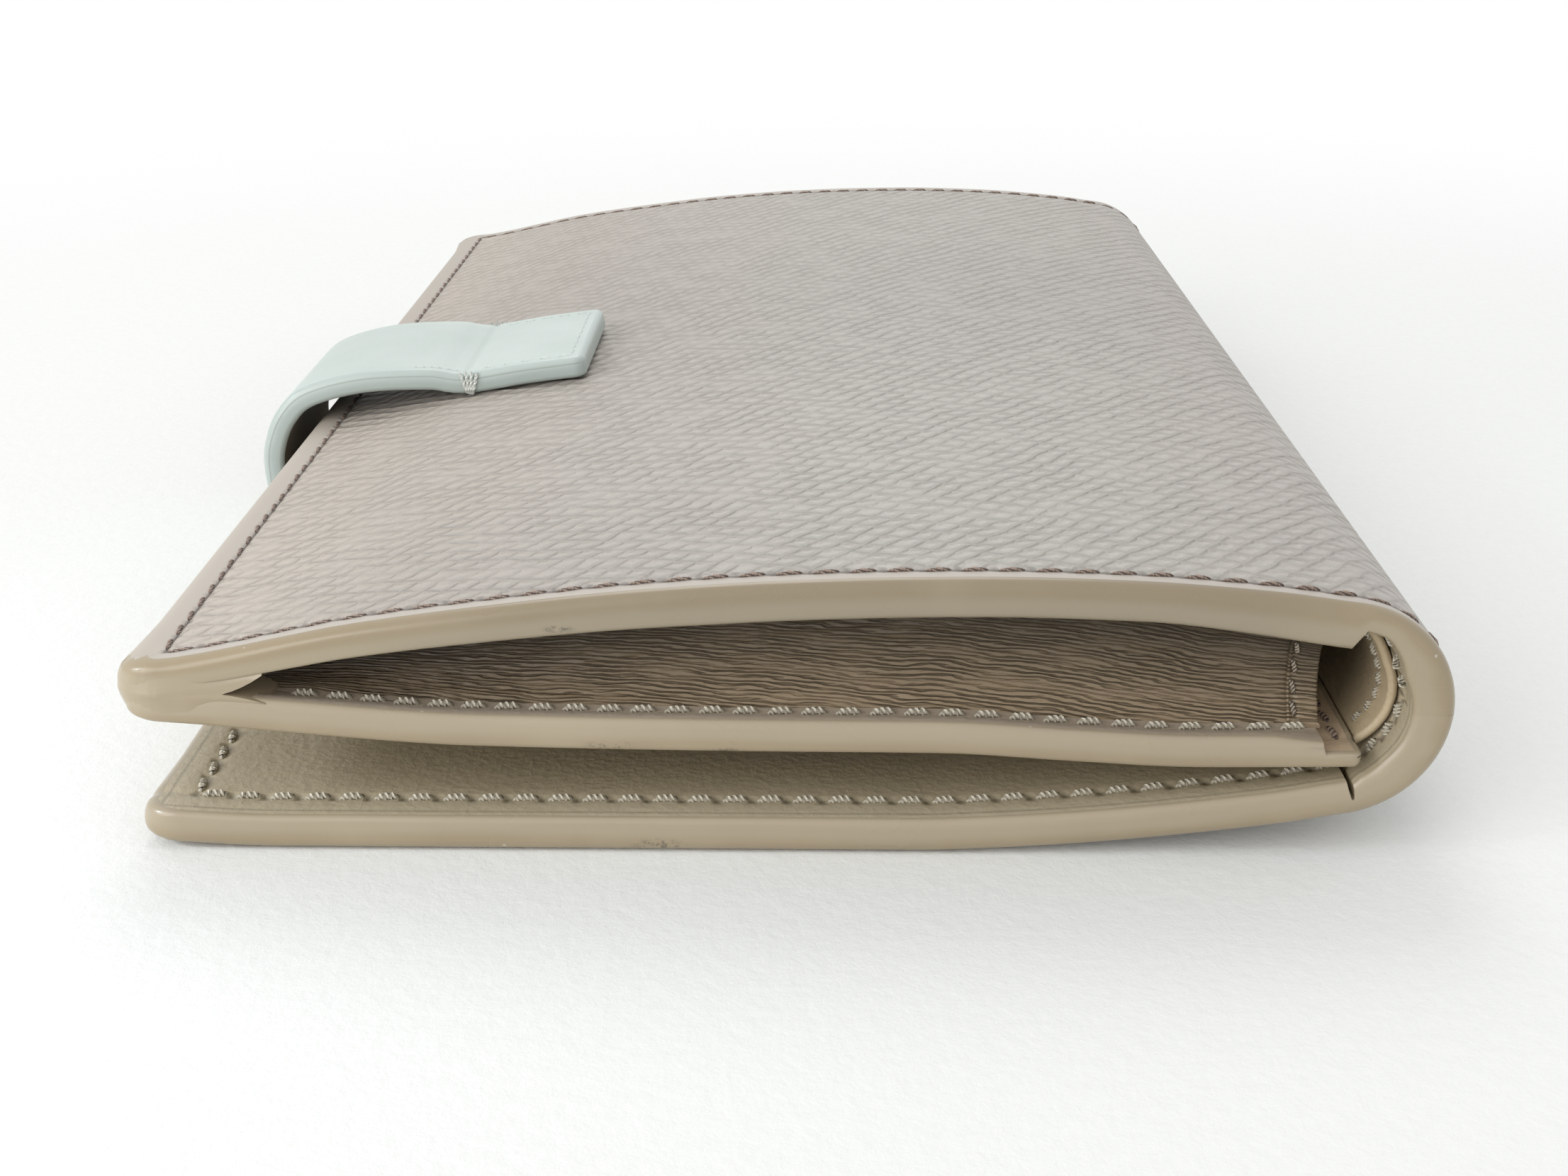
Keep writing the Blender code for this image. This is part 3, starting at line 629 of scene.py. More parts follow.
def calfFinish(name, light, dark, roughness, scale=120.0, relief=1.0, seams=None):
    finish, tree, shader = newFinish(name, roughness)
    flat = flatPlace(tree)
    skin = useGroup(calfSkin, flat, Scale=scale)
    cloud, height = skin["Cloud"], skin["Height"]
    tone = mixTones(cloud.ranged(0.3, 0.7), light, dark)
    if seams:
        seam = useGroup(seamPull, flat, Inset=seams)
        # painted shade in the stitch holes
        tone = mixTones(seam["Dent"] * 0.5, tone, tuple(c * 0.3 for c in dark))
        # painted shade: a dark line where the lining is creased about 1 mm from its edge
        turned = (seam["Edge"] - 0.0105).math("ABSOLUTE").near(0.0022)
        tone = mixTones(turned * 0.45, tone, tuple(c * 0.35 for c in dark))
        height = height - seam["Dent"] * 2.5
    feed(shader, {"Base Color": tone,
                  "Roughness": cloud.ranged(0.3, 0.7, roughness - 0.05, roughness + 0.06)})
    addBump(shader, height, relief, 0.00008)
    return finish


def gussetFinish():
    # thin leather that lies in long fine wrinkles, with a little shine on the crests, and painted shade in
    # its creases, towards its top and towards the left
    finish, tree, shader = newFinish("gussetLeather", 0.42)
    flat = flatPlace(tree)
    along, up, _ = split(flat)
    swayed = noiseOn(flat, 7.0) * 0.028
    ragged = noiseOn(flat, 1.0, 2.0, 0.5, (34.0, 130.0, 1.0)) * 0.0085
    wave = (up + along * 0.13 + (swayed + ragged)).math("DIVIDE", 0.0049).ridges()
    patch = noiseOn(flat, 1.0, 3.0, 0.6, (16.0, 60.0, 1.0)).ranged(0.34, 0.60, 0.35, 1.0)
    crease = wave.near(0.62) * patch
    shade = along.ranged(0.0, 0.45, 0.35, 0.0)
    # painted shade: the gusset is darker towards the top, under the back cover, and towards the left
    height = up.ranged(0.02, 0.135, kind="LINEAR").math("ADD", shade, use_clamp=True)
    tone = mixTones(height, (0.275, 0.203, 0.124), (0.025, 0.019, 0.013))
    # painted shade in the creases
    tone = mixTones(crease * 0.55, tone, (0.034, 0.026, 0.017))
    feed(shader, {"Base Color": tone, "Roughness": crease.ranged(0.0, 0.8, 0.36, 0.65)})
    addBump(shader, noiseOn(flat, 420.0) * 0.16 - crease, 1.0, 0.00022)
    return finish


def paintFinish(name, outer, inner, scuff, roughness, marks=(), middleShade=None):
    # edge paint: even and slightly glossy, with painted shade that darkens it towards the outer face, with
    # brush ripples and a few rubbed spots
    finish, tree, shader = newFinish(name, roughness)
    where = solidPlace(tree)
    depth = addNode(tree, "Attribute", attribute_name="depthShare", output="Fac")
    streak = noiseOn(where, 260.0, 3.0, 0.55, (0.10, 0.10, 1.0))
    # painted shade: the paint is darker towards the outer face than towards the inner face
    tone = mixTones((depth + (streak - 0.5) * 0.55).ranged(0.28, 0.62), outer, inner)
    cloud = noiseOn(where, 110.0, 3.0)
    tone = mixTones(cloud.ranged(0.45, 0.75, 0.0, 0.35), tone, tuple(c * 1.14 for c in inner))
    rub = noiseOn(where, 1700.0, 4.0, 0.8).ranged(0.47, 0.60)
    for place, wide, tall in marks:
        away = vectorMath("DIVIDE", vectorMath("SUBTRACT", where, place), (wide, 1.0, tall))
        spot = 1.0 - vectorMath("LENGTH", away, output="Value").ranged(0.2, 1.0)
        tone = mixTones(spot * rub * 0.75, tone, scuff)
    if middleShade:
        # painted shade: the top band is darker in the middle than towards its ends
        x = split(where)[0]
        fall = 1.0 - x.ranged(36 * mm, 50 * mm)
        tone = mixTones(x.ranged(-42 * mm, -10 * mm) * fall, tone, middleShade, "MULTIPLY")
    speck = noiseOn(where, 800.0, 1.0).math("GREATER_THAN", 0.795)
    tone = mixTones(speck * 0.35, tone, (0.75, 0.72, 0.66))
    feed(shader, {"Base Color": tone, "Roughness": cloud.ranged(0.3, 0.7, roughness - 0.05, roughness + 0.08),
                  "Coat Weight": 0.25, "Coat Roughness": 0.16})
    ripple = noiseOn(where, 480.0, 2.0, 0.5, (0.35, 0.35, 1.0))
    addBump(shader, ripple * 0.6 + (cloud * 0.5 + streak), 0.40, 0.00014)
    return finish


def threadFinish(name, light, dark):
    finish, tree, shader = newFinish(name, 0.5)
    lobe = addNode(tree, "Attribute", attribute_name="lobe", output="Fac")
    # painted shade: darker in the grooves between the plies and at the stitch ends, lighter on the plies
    plug(mixTones(lobe.ranged(0.0, 0.8), dark, light), shader.inputs["Base Color"])
    addBump(shader, noiseOn(solidPlace(tree), 3200.0), 0.3, 0.00005)
    return finish


liningTones, dirt = ((0.468, 0.402, 0.285), (0.432, 0.368, 0.256)), (0.085, 0.070, 0.052)
outerLeather = grainedFinish()
gussetLeather = gussetFinish()
liningLeather = calfFinish("liningLeather", *liningTones, 0.42, seams=0.032)
plainLining = calfFinish("plainLining", *liningTones, 0.46)
stripLeather = calfFinish("stripLeather", (0.500, 0.400, 0.260), (0.466, 0.370, 0.238), 0.46)
panelTop = calfFinish("panelTop", (0.410, 0.342, 0.266), (0.375, 0.312, 0.240), 0.44, relief=0.8)
lipLeather = calfFinish("lipLeather", (0.555, 0.420, 0.290), (0.460, 0.350, 0.238), 0.5, relief=0.8)
strapLeather = calfFinish("strapLeather", (0.515, 0.572, 0.534), (0.470, 0.530, 0.495), 0.42, 150.0, 0.35)
strapUnder = calfFinish("strapUnder", (0.105, 0.088, 0.070), (0.070, 0.058, 0.046), 0.8, 200.0, 0.6)
# the top band's paint is a slightly darker copy of the edge paint, as painted shade, and darker still in the
# middle
topPaint = paintFinish("topPaint", (0.296, 0.233, 0.145), (0.332, 0.274, 0.186), dirt, 0.30,
                       (((-14.0 * mm, -75 * mm, 19.0 * mm), 1.6 * mm, 0.4 * mm),), (0.82, 0.83, 0.85))
edgePaint = paintFinish("edgePaint", (0.308, 0.243, 0.155), (0.346, 0.286, 0.200), dirt, 0.30, marks=(
    ((-7.0 * mm, -75 * mm, 0.7 * mm), 2.9 * mm, 0.75 * mm),
    ((-10.5 * mm, -75 * mm, 9.4 * mm), 2.6 * mm, 0.55 * mm),
    ((-2.0 * mm, -75 * mm, 9.0 * mm), 2.0 * mm, 0.35 * mm)))
strapPaint = paintFinish("strapPaint", (0.430, 0.485, 0.458), (0.380, 0.432, 0.410), (0.25, 0.28, 0.28), 0.36)
paleThread = threadFinish("paleThread", (0.660, 0.620, 0.520), (0.360, 0.315, 0.240))
brownThread = threadFinish("brownThread", (0.340, 0.255, 0.205), (0.075, 0.050, 0.042))
hemThread = threadFinish("hemThread", (0.420, 0.360, 0.280), (0.070, 0.050, 0.038))
strapThread = threadFinish("strapThread", (0.620, 0.670, 0.635), (0.520, 0.570, 0.540))
seamThread = threadFinish("seamThread", (0.680, 0.700, 0.650), (0.540, 0.560, 0.520))
print("finishes made")


# Covers: one bent laminate each, from the fore-edge to the middle of the spine

cover = {
    "outerRound": 1.0 * mm, "innerRound": 0.5 * mm, "backInset": 2.5 * mm, "frontInset": 3.2 * mm,
    "groove": 0.16 * mm, "grooveWidth": 0.5 * mm, "slit": 0.62 * mm, "slitFloor": 1.4 * mm,
    "liningEnd": 84, "spare": 5 * mm,
    "backNose": (2.6 * mm, 2.6 * mm, 0.5 * mm, 1.05 * mm),
    "frontNose": (1.4 * mm, 1.7 * mm, 0.3 * mm, 0.75 * mm),
}
spineBand = ((-81, 0.70), (-68, 1.0), (-45, 1.10), (32, 1.09), (64, 0.66))
liningEndAt = alongAtX(backProfile, spineX + spineRadius * math.cos(cover["liningEnd"] * degree))
slitAt = alongAtX(frontProfile, spineX + 2.3 * mm)


def grooveDepth(along, across, inset):
    # how far the stitches press the leather in
    side = sideAway(across)
    reach = min(abs(side - inset), abs(along - inset) if side > inset else 1.0)
    return cover["groove"] * bell(reach, cover["grooveWidth"])


def innerShare(along):
    # the back lining stops short of the spine, and the spine's lining grows out of the bare leather
    past = (along - liningEndAt) / (0.9 * mm)
    if past < 0:
        return backThickness(along) / wallet["shell"]
    here = spineShare(spineBand, backProfile, along)
    return here if past > 1 else here + (backThickness(liningEndAt) / wallet["shell"] - here) * (1 - past)


def backDepth(along, across, depth):
    press = grooveDepth(along, across, cover["backInset"])
    return depth * innerShare(along) + (-press if depth > wallet["shell"] / 2 else press)


def frontDepth(along, across, depth):
    press = grooveDepth(along, across, cover["frontInset"])
    if depth < wallet["shell"] / 2:
        return depth + press
    if along < slitAt - 0.25 * cover["slit"]:
        return depth - press
    if along < slitAt + 0.25 * cover["slit"]:
        return min(depth, cover["slitFloor"] + depth * 0.02)
    return depth * spineShare(spineBand, frontProfile, along) - press


def spineBlend(piece, angle, reach=5.5 * mm):
    x, z = onSpine(angle * degree)
    here = Vector((x - originX, 0, z))
    way = Vector((-math.sin(angle * degree), 0, math.cos(angle * degree))) * reach
    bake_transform(piece)


def buildCover(name, profile, depthOf, liftOf, inset, nose, paint, extraCuts):
    arcStart = profile["length"] - spineRadius * 80 * degree
    end = profile["length"]
    cuts = grooveCuts(inset) + [0.25 * mm, 0.6 * mm] + evenCuts(inset + 1.6 * mm, arcStart, 1.7 * mm)
    cuts += evenCuts(arcStart, end, 0.7 * mm) + [end - 0.12 * mm, end - 0.3 * mm] + extraCuts
    bm = cutSheet((0, 0), (end + cover["spare"], long), wallet["shell"], wallet["cornerRadius"],
                  outerRound=cover["outerRound"], innerRound=cover["innerRound"], trimAt=end,
                  alongCuts=cuts, acrossCuts=rowCuts(inset), depthCuts=(1.5 * mm, 2.0 * mm))
    nameFaces(bm, wallet["shell"], turned=0.8 * mm)
    bendOnto(bm, profile, depthOf, liftOf, edgeShift(*nose), wallet["shell"])
    return makePiece(name, bm, (outerLeather, paint, liningLeather))


backShell = buildCover("backShell", backProfile, backDepth, None, cover["backInset"], cover["backNose"],
                       topPaint, [liningEndAt, liningEndAt + 0.3 * mm, liningEndAt + 0.9 * mm])
frontShell = buildCover("frontShell", frontProfile, frontDepth, frontLift, cover["frontInset"],
                        cover["frontNose"], edgePaint,
                        [slitAt + d * cover["slit"] for d in (-0.5, -0.2, 0.2, 0.5)])
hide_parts("back_cover_leather", "back_board", "back_lining", "back_spine_lining")
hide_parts("front_cover_leather", "front_board", "front_lining", "front_spine_lining",
            "spine_leather", "spine_lining", "snap_washer")
spineBlend(frontShell, -45)
spineBlend(backShell, 45)
print("covers made")


# Inner panel, with a thinner lip past the gusset's hem

panel = {
    "thickness": 2.2 * mm, "lip": 1.35 * mm, "hem": 3.0 * mm, "outerRound": 0.6 * mm, "innerRound": 0.55 * mm,
    "inset": 2.8 * mm, "endInset": 1.5 * mm, "rim": 0.5 * mm,
    "nose": (3.0 * mm, 3.0 * mm, -0.35 * mm, 1.05 * mm),
}
hemAt = panelProfile["length"] - panel["hem"]


def panelRim(along, across):
    # thick paint raises the panel's side edges, outside the stitches
    raised = panel["rim"] * fade((sideAway(across) - 1.2 * mm) / (1.1 * mm))
    return raised * fade((along - hemAt + 4 * mm) / (4 * mm)) * (1 - fade((along - 3 * mm) / (4 * mm)))


def panelDepth(along, across, depth):
    press = grooveDepth(along, across, panel["inset"]) * 0.8
    if depth > panel["thickness"] / 2:
        press -= panelRim(along, across) * (2 * depth / panel["thickness"] - 1)
        if along > hemAt + 0.1 * mm:
            depth = panel["lip"] + (depth - panel["thickness"]) * 0.5
        return depth * panelSkive(along) - press
    return depth * panelSkive(along) + press


cuts = evenCuts(1.6 * mm, hemAt, 1.8 * mm) + [hemAt, hemAt + 0.25 * mm]
cuts += evenCuts(hemAt + 0.25 * mm, panelProfile["length"], 0.6 * mm) + [0.3 * mm, 0.8 * mm]
bm = cutSheet((0, 0), (panelProfile["length"], long), panel["thickness"], wallet["cornerRadius"],
              0.7 * mm, panel["outerRound"], panel["innerRound"], alongCuts=cuts,
              acrossCuts=rowCuts(panel["inset"]), depthCuts=(1.1 * mm, 1.4 * mm))
nameFaces(bm, panel["thickness"])
for face in bm.faces:
    if face.material_index == 2 and face.calc_center_median().x > hemAt + 0.1 * mm:
        face.material_index = 3
bendOnto(bm, panelProfile, panelDepth, None, edgeShift(*panel["nose"]), panel["thickness"])
innerPanel = makePiece("innerPanel", bm, (plainLining, edgePaint, panelTop, lipLeather))
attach(innerPanel, "back_cover")
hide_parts("panel_leather", "panel_lining")

# At the fore-edge one thick coat of paint runs over the cover and the panel and fills the V between them
join = {
    "reach": 7.4 * mm, "bulge": 0.20 * mm, "sink": 0.03 * mm, "lumps": 0.09 * mm, "flare": 3.2 * mm,
    "coat": 1.10 * mm, "crest": 13.9 * mm,
}
bm = cutSheet((0, 0), (join["reach"], long), 1.0, wallet["cornerRadius"],
              alongCuts=evenCuts(0, join["reach"], 0.4 * mm),
              acrossCuts=evenCuts(0, long, 2.5 * mm) + [0.4 * mm, 1.2 * mm],
              depthCuts=(0.04, 0.12, 0.2, 0.28, *(0.34 + 0.04 * k for k in range(9)), 0.72, 0.8, 0.88, 0.96))
layer = bm.verts.layers.float.new("depthShare")
radius = wallet["cornerRadius"]
for vert in bm.verts:
    along, across, share = vert.co
    side = sideAway(across)
    # the V opens from its tip to the faces of the panel and the cover
    opening = min(1.0, abs(2 * share - 1) / 0.32)
    reach = along + join["flare"] * opening * min(1.0, along / join["reach"]) ** 3
    low, high = heightAtX(panelProfile, reach, 2.0 * mm + panelRim(reach, 0)), underBack(reach)
    tip = low + (0.3 + 0.2 * fade((reach - 3 * mm) / (4 * mm))) * (high - low)
    z = float(np.interp(share, (0, 0.34, 0.5, 0.66, 1), (
        heightAtX(panelProfile, reach, 0) + 0.45 * mm, low, tip, high,
        heightAtX(backProfile, reach, 0) - 0.75 * mm)))
    away = Vector((min(0.0, along - radius), min(0.0, side - radius)))
    atEdge = along < 0.02 * mm or side < 0.02 * mm or (along < radius and side < radius)
    outward = Vector((0.0, 0.0))
    if atEdge and away.length > radius - 0.03 * mm:
        # the coat lies outside both edges in the middle and sinks softly under them at its ends
        away.normalize()
        swell = math.sin(math.pi * share) ** 1.4 * fade((along - 2.5 * mm) / (4.9 * mm))
        lump = join["lumps"] * noise.noise(Vector((along * 450, across * 300, share * 2.5))) * swell
        buried = min(1.0, max(0.0, (abs(2 * share - 1) - 0.34) / 0.08))
        buried *= 1 - fade((along - 4 * mm) / (3 * mm))
        outward = away * ((join["bulge"] + join["sink"]) * swell - join["sink"] + lump - 0.3 * mm * buried)
        away.x = away.x * fade(along / (3.6 * mm))
        spread, pull = (1.95 * mm, -0.45 * mm) if z > join["crest"] else (2.8 * mm, 0.25 * mm)
        full = math.sqrt(max(0.0, 1 - ((z - join["crest"]) / spread) ** 2))
        outward.x += away.x * (coatAt(across, join["coat"]) * full + pull * (1 - full))
    vert[layer] = 0.45
    across += outward.y if across < originY else -outward.y
    vert.co = (reach + outward.x - originX, across - originY, z)
bmesh.ops.recalc_face_normals(bm, faces=bm.faces)
foreEdgeJoin = makePiece("foreEdgeJoin", bm, (edgePaint,), 60)
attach(foreEdgeJoin, "back_cover")
print("panel made")


# Gussets: thin leather folded between the panel and the back cover, wrinkled along it and hemmed at the end

gusset = {
    "start": 6.0 * mm, "tuck": 2.0 * mm, "wall": 3.7 * mm, "bow": 1.5 * mm, "thickness": 0.5 * mm,
    "foot": 1.2 * mm, "wave": 0.13 * mm,
    "hemWidth": 2.1 * mm, "hemThickness": 0.22 * mm, "hemSeam": 0.45 * mm,
}
gussetEnd = panelEnd - panel["hem"]


def gussetLine(x):
    floor = heightAtX(panelProfile, x, panel["thickness"]) - 0.12 * mm
    roof = underBack(x) + 0.1 * mm
    tall = max(0.4 * mm, roof - floor)
    bow = gusset["bow"] * min(1.0, tall / (3.5 * mm))
    fold = min(0.5 * mm, tall / 5)
    wall = gusset["wall"] - gusset["tuck"] * fade((x - gusset["start"]) / (4.5 * mm))
    return roundLine([(wall + out, z) for out, z in (
        (-gusset["foot"], floor), (-0.25 * mm, floor + 0.05 * mm), (0.1 * mm, floor + fold),
        (bow * 0.75, floor + tall * 0.27), (bow, floor + tall * 0.5), (bow * 0.8, floor + tall * 0.75),
        (0.1 * mm, roof - fold), (-0.4 * mm, roof), (-gusset["foot"], roof))], steps=6)


def waveHeight(x, t):
    # long shallow waves that run along the gusset and break into each other
    drift = 1.3 * noise.noise(Vector((x * 60, t * 2.0, 3.1)))
    ridge = 0.0
    for pitch, weight, seed in ((13.0, 0.65, 0.0), (23.0, 0.35, 5.5)):
        phase = t * pitch + drift * 1.6 + 2.4 * noise.noise(Vector((x * 140, t * pitch * 0.35, seed)))
        ridge += weight * (1 - 2 * abs(math.sin(phase * math.pi / 2)))
    return ridge * (0.55 + 0.45 * noise.noise(Vector((x * 90, t * 5, 9.2))))


gussetLines = {}


def gussetPlace(x, t, depth, far):
    key = round(x, 6)
    if key not in gussetLines:
        gussetLines[key] = profileOf(gussetLine(x), 1)
    line = gussetLines[key]
    y, z = pointOn(line, t * line["length"], depth)
    return x - originX, (long - y if far else y) - originY, z


def buildGusset(name, far):
    bm = bmesh.new()
    bmesh.ops.create_grid(bm, x_segments=180, y_segments=90, size=0.5)
    keepFlat(bm, lambda place: ((place.x + 0.5) * 0.83, (place.y + 0.5) * 0.16))
    for vert in bm.verts:
        u, t = vert.co.x + 0.5, vert.co.y + 0.5
        x = gusset["start"] + u * (gussetEnd - gusset["start"])
        calm = fade((x - gussetEnd + 5 * mm) / (2.5 * mm)) * fade((0.12 - t) / 0.1) * fade((t - 0.88) / 0.1)
        vert.co = gussetPlace(x, t, gusset["wave"] * waveHeight(x, t) * calm, far)
    bmesh.ops.recalc_face_normals(bm, faces=bm.faces)
    bmesh.ops.solidify(bm, geom=bm.faces[:], thickness=gusset["thickness"])
    bmesh.ops.recalc_face_normals(bm, faces=bm.faces)
    piece = makePiece(name, bm, (gussetLeather,), 60)
    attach(piece, "back_cover")
    return piece


def bendGusset(bm, x, far):
    # a flat strip of gusset leather that starts at x goes onto the gusset's line
    reach = profileOf(gussetLine(x), 1)["length"]
    for vert in bm.verts:
        along, across, depth = vert.co
        vert.co = gussetPlace(min(x + along, gussetEnd + 0.3 * mm), across / reach, depth, far)
    bmesh.ops.recalc_face_normals(bm, faces=bm.faces)
    return reach


def buildHem(name, far):
    # the gusset's end is turned back on itself and sewn
    start = gussetEnd - gusset["hemWidth"]
    reach = profileOf(gussetLine(start), 1)["length"]
    wide = gusset["hemWidth"] + 0.3 * mm
    low, high = 0.4 * mm, reach - 0.4 * mm
    bm = cutSheet((0, low), (wide, high), gusset["hemThickness"] + 0.2 * mm, innerRound=0.22 * mm,
                  alongCuts=evenCuts(0, wide, 0.2 * mm), acrossCuts=evenCuts(low, high, 0.35 * mm))
    keepFlat(bm, lambda place: (0.83 - (wide - place.x) / (100 * mm), place.y / reach * 0.16))
    for vert in bm.verts:
        if vert.co.z > 0.3 * mm:
            vert.co.z -= 0.25 * mm * bell(vert.co.x - gusset["hemSeam"], 0.25 * mm)
    bendGusset(bm, start, far)
    piece = makePiece(name, bm, (gussetLeather,), 60)
    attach(piece, "back_cover")
    line = [(gusset["hemSeam"], 1.3 * mm), (gusset["hemSeam"], reach - 1.0 * mm)]
    seam = sew(linePlaces(line, 1.75 * mm, 12, 21), gusset["hemThickness"] + 0.05 * mm, 1,
               length=1.3 * mm, thickness=0.42 * mm, arch=0.16 * mm)
    bendGusset(seam, start, far)
    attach(makePiece(name + "Stitches", seam, (hemThread,), 70), "back_cover")


nearGusset, farGusset = buildGusset("nearGusset", False), buildGusset("farGusset", True)
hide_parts("near_gusset")
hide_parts("far_gusset")
buildHem("nearHem", False)
buildHem("farHem", True)
print("gussets made")


# Strip inside the spine. It lies on the lining at the top and stands away from it lower down.

strip = {"inset": 3.6 * mm, "low": -57, "high": 67, "thickness": 0.75 * mm, "seam": 2.3 * mm}
stripDepths = ((-58, 1.24), (-20, 1.17), (13, 1.14), (32, 1.11), (45, 1.00), (66, 0.74))
stripLow, stripHigh = (spineRadius * (strip[end] + 76) * degree for end in ("low", "high"))


def stripDepth(along, across, depth):
    return depth + wallet["shell"] * spineShare(stripDepths, stripProfile, along)


bm = cutSheet((stripLow, strip["inset"]), (stripHigh, long - strip["inset"]), strip["thickness"],
              outerRound=0.3 * mm, innerRound=0.35 * mm, alongCuts=evenCuts(stripLow, stripHigh, 0.5 * mm),
              acrossCuts=evenCuts(strip["inset"], long - strip["inset"], 8 * mm))
nameFaces(bm, strip["thickness"])
bendOnto(bm, stripProfile, stripDepth, thickness=strip["thickness"])
spineStrip = makePiece("spineStrip", bm, (stripLeather, stripLeather, stripLeather))
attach(spineStrip, "spine")
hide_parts("spine_strip")


# Card pockets under the panel

pockets = {
    "border": 5 * mm, "gap": 4 * mm, "foot": 10 * mm, "leaf": 0.6 * mm, "mouth": 7.5 * mm, "step": 9 * mm,
}
columnWidth = (long - 2 * pockets["border"] - pockets["gap"]) / 2
for column in range(2):
    low = pockets["border"] + column * (columnWidth + pockets["gap"])
    high = low + columnWidth
    for leaf in range(2):
        mouth = panelProfile["length"] - pockets["mouth"] - leaf * pockets["step"]
        far = -0.3 * mm - leaf * 0.9 * mm - pockets["leaf"]
        bm = cutSheet((pockets["foot"], low), (mouth, high), pockets["leaf"], endCorner=1.0 * mm,
                      outerRound=0.2 * mm, innerRound=0.12 * mm, acrossCuts=evenCuts(low, high, 8 * mm),
                      alongCuts=evenCuts(pockets["foot"], mouth, 2.5 * mm))
        nameFaces(bm, pockets["leaf"])
        bendOnto(bm, panelProfile, lambda s, y, d, far=far: d + far, thickness=pockets["leaf"])
        piece = makePiece(f"cardPocket{column + 1}{leaf + 1}", bm, (plainLining, edgePaint, plainLining))
        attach(piece, "back_cover")
        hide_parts(f"card_pocket_{column + 1}_{leaf + 1}")
print("pockets made")


# Strap, in two lengths that meet in the middle of the loop

foremost = int(np.argmin(strapProfile["p"][:, 0]))
seamAt = float(np.interp(-strap["seam"], -strapProfile["p"][:foremost, 0], strapProfile["s"][:foremost]))
heights = strapProfile["p"][:, 1]
turnAt = strapProfile["s"][next(k for k, z in enumerate(heights) if z < 0.135 * heights.max())]
middleAt = (seamAt + turnAt) / 2
strapLow = strap["middle"] - strap["width"] / 2
strapHigh = strap["middle"] + strap["width"] / 2


def strapSide(across):
    return min(across - strapLow, strapHigh - across)


def strapDepth(along, across, depth):
    if depth > strap["thickness"] / 2:
        return depth
    press = 0.06 * mm * bell(strapSide(across) - strap["inset"], 0.4 * mm)
    return depth + 0.22 * mm * bell(along - seamAt, 0.4 * mm) + press


def strapShift(along, across, depth):
    # a fine line on the painted side shows where the two layers meet, and the seam pinches the edge
    if strapSide(across) > 0.3 * mm:
        return along, across
    push = 0.04 * mm * bell(depth - strap["layerAt"], 0.10 * mm) + 0.05 * mm * bell(along - seamAt, 0.45 * mm)
    return along, across + push if across < strap["middle"] else across - push


def strapBlend(piece, at):
    a, b = pointOn(strapProfile, at - 2 * mm), pointOn(strapProfile, at + 2 * mm)
    a[0] - originX
    b[0] - originX
    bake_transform(piece)


strapRows = [strapLow + d * mm for d in (0.9, 1.15, 1.4, 1.65, 2.1)]
strapRows += [2 * strap["middle"] - r for r in strapRows]
strapRows += evenCuts(strapLow + 2.2 * mm, strapHigh - 2.2 * mm, 3 * mm)
layerCuts = [strap["layerAt"] + d * mm for d in (-0.16, -0.08, 0, 0.08, 0.16)]
seamCuts = [seamAt + d * mm for d in (-0.5, -0.25, 0, 0.25, 0.5)]
spare = 3 * mm
for name, first, last, start, finish, after, cuts, at, pair, nodes in (
        ("strapUpper", 0.0, middleAt + spare, strap["cornerRadius"], 0.0, False,
         evenCuts(0, middleAt, 0.7 * mm) + seamCuts + [middleAt - 0.1 * mm], seamAt,
         ("back_cover", "strap_loop"),
         ("strap_tail_leather", "strap_tail_lining", "strap_loop_leather", "strap_loop_lining")),
        ("strapLower", middleAt - spare, strapProfile["length"], 0.0, strap["tipRadius"], True,
         evenCuts(middleAt, strapProfile["length"], 0.7 * mm) + [middleAt + 0.1 * mm], turnAt,
         ("strap_loop", "strap_end"), ("strap_end_leather", "strap_end_lining"))):
    bm = cutSheet((first, strapLow), (last, strapHigh), strap["thickness"], start, finish,
                  strap["outerRound"], strap["innerRound"], middleAt, after, cuts, strapRows, layerCuts)
    nameFaces(bm, strap["thickness"])
    bendOnto(bm, strapProfile, strapDepth, None, strapShift, strap["thickness"])
    piece = makePiece(name, bm, (strapLeather, strapPaint, strapUnder))
    strapBlend(piece, at)
    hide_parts(*nodes)
print("strap made")


# Stitching

def sewOnto(name, places, depth, side, profile, finish, depthOf=None, liftOf=None, **sizes):
    bm = sew(places, depth, side, **sizes)
    bendOnto(bm, profile, depthOf, liftOf)
    return makePiece(name, bm, (finish,), 70)


def coverLine(length, inset, seed, slant):
    # the pitch along the cover is exact, so that the dents in the leather fall between the stitches
    pitch = wallet["stitchPitch"]
    last = inset + pitch * int((length - inset) / pitch)
    far = long - inset
    return linePlaces([(last, inset), (inset, inset), (inset, far), (last, far)], pitch, slant, seed)


thread = {"slant": 7, "pitch": 2.6 * mm}
for name, profile, depthOf, liftOf, inset, pair, angle in (
        ("front", frontProfile, frontDepth, frontLift, cover["frontInset"], ("front_cover", "spine"), -45),
        ("back", backProfile, backDepth, None, cover["backInset"], ("spine", "back_cover"), 45)):
    places = coverLine(profile["length"], inset, len(name), thread["slant"])
    flush = 0.10 * mm if name == "front" else 0.0
    outerStitches = sewOnto(name + "OuterStitches", places, flush + 0.02 * mm, -1, profile, brownThread,
                            depthOf, liftOf, thickness=0.46 * mm, arch=0.12 * mm, twist=45, steps=9)
    innerStitches = sewOnto(name + "InnerStitches", places, wallet["shell"] - 0.02 * mm, 1, profile,
                            paleThread, depthOf, liftOf)
    for piece in (outerStitches, innerStitches):
        spineBlend(piece, angle)

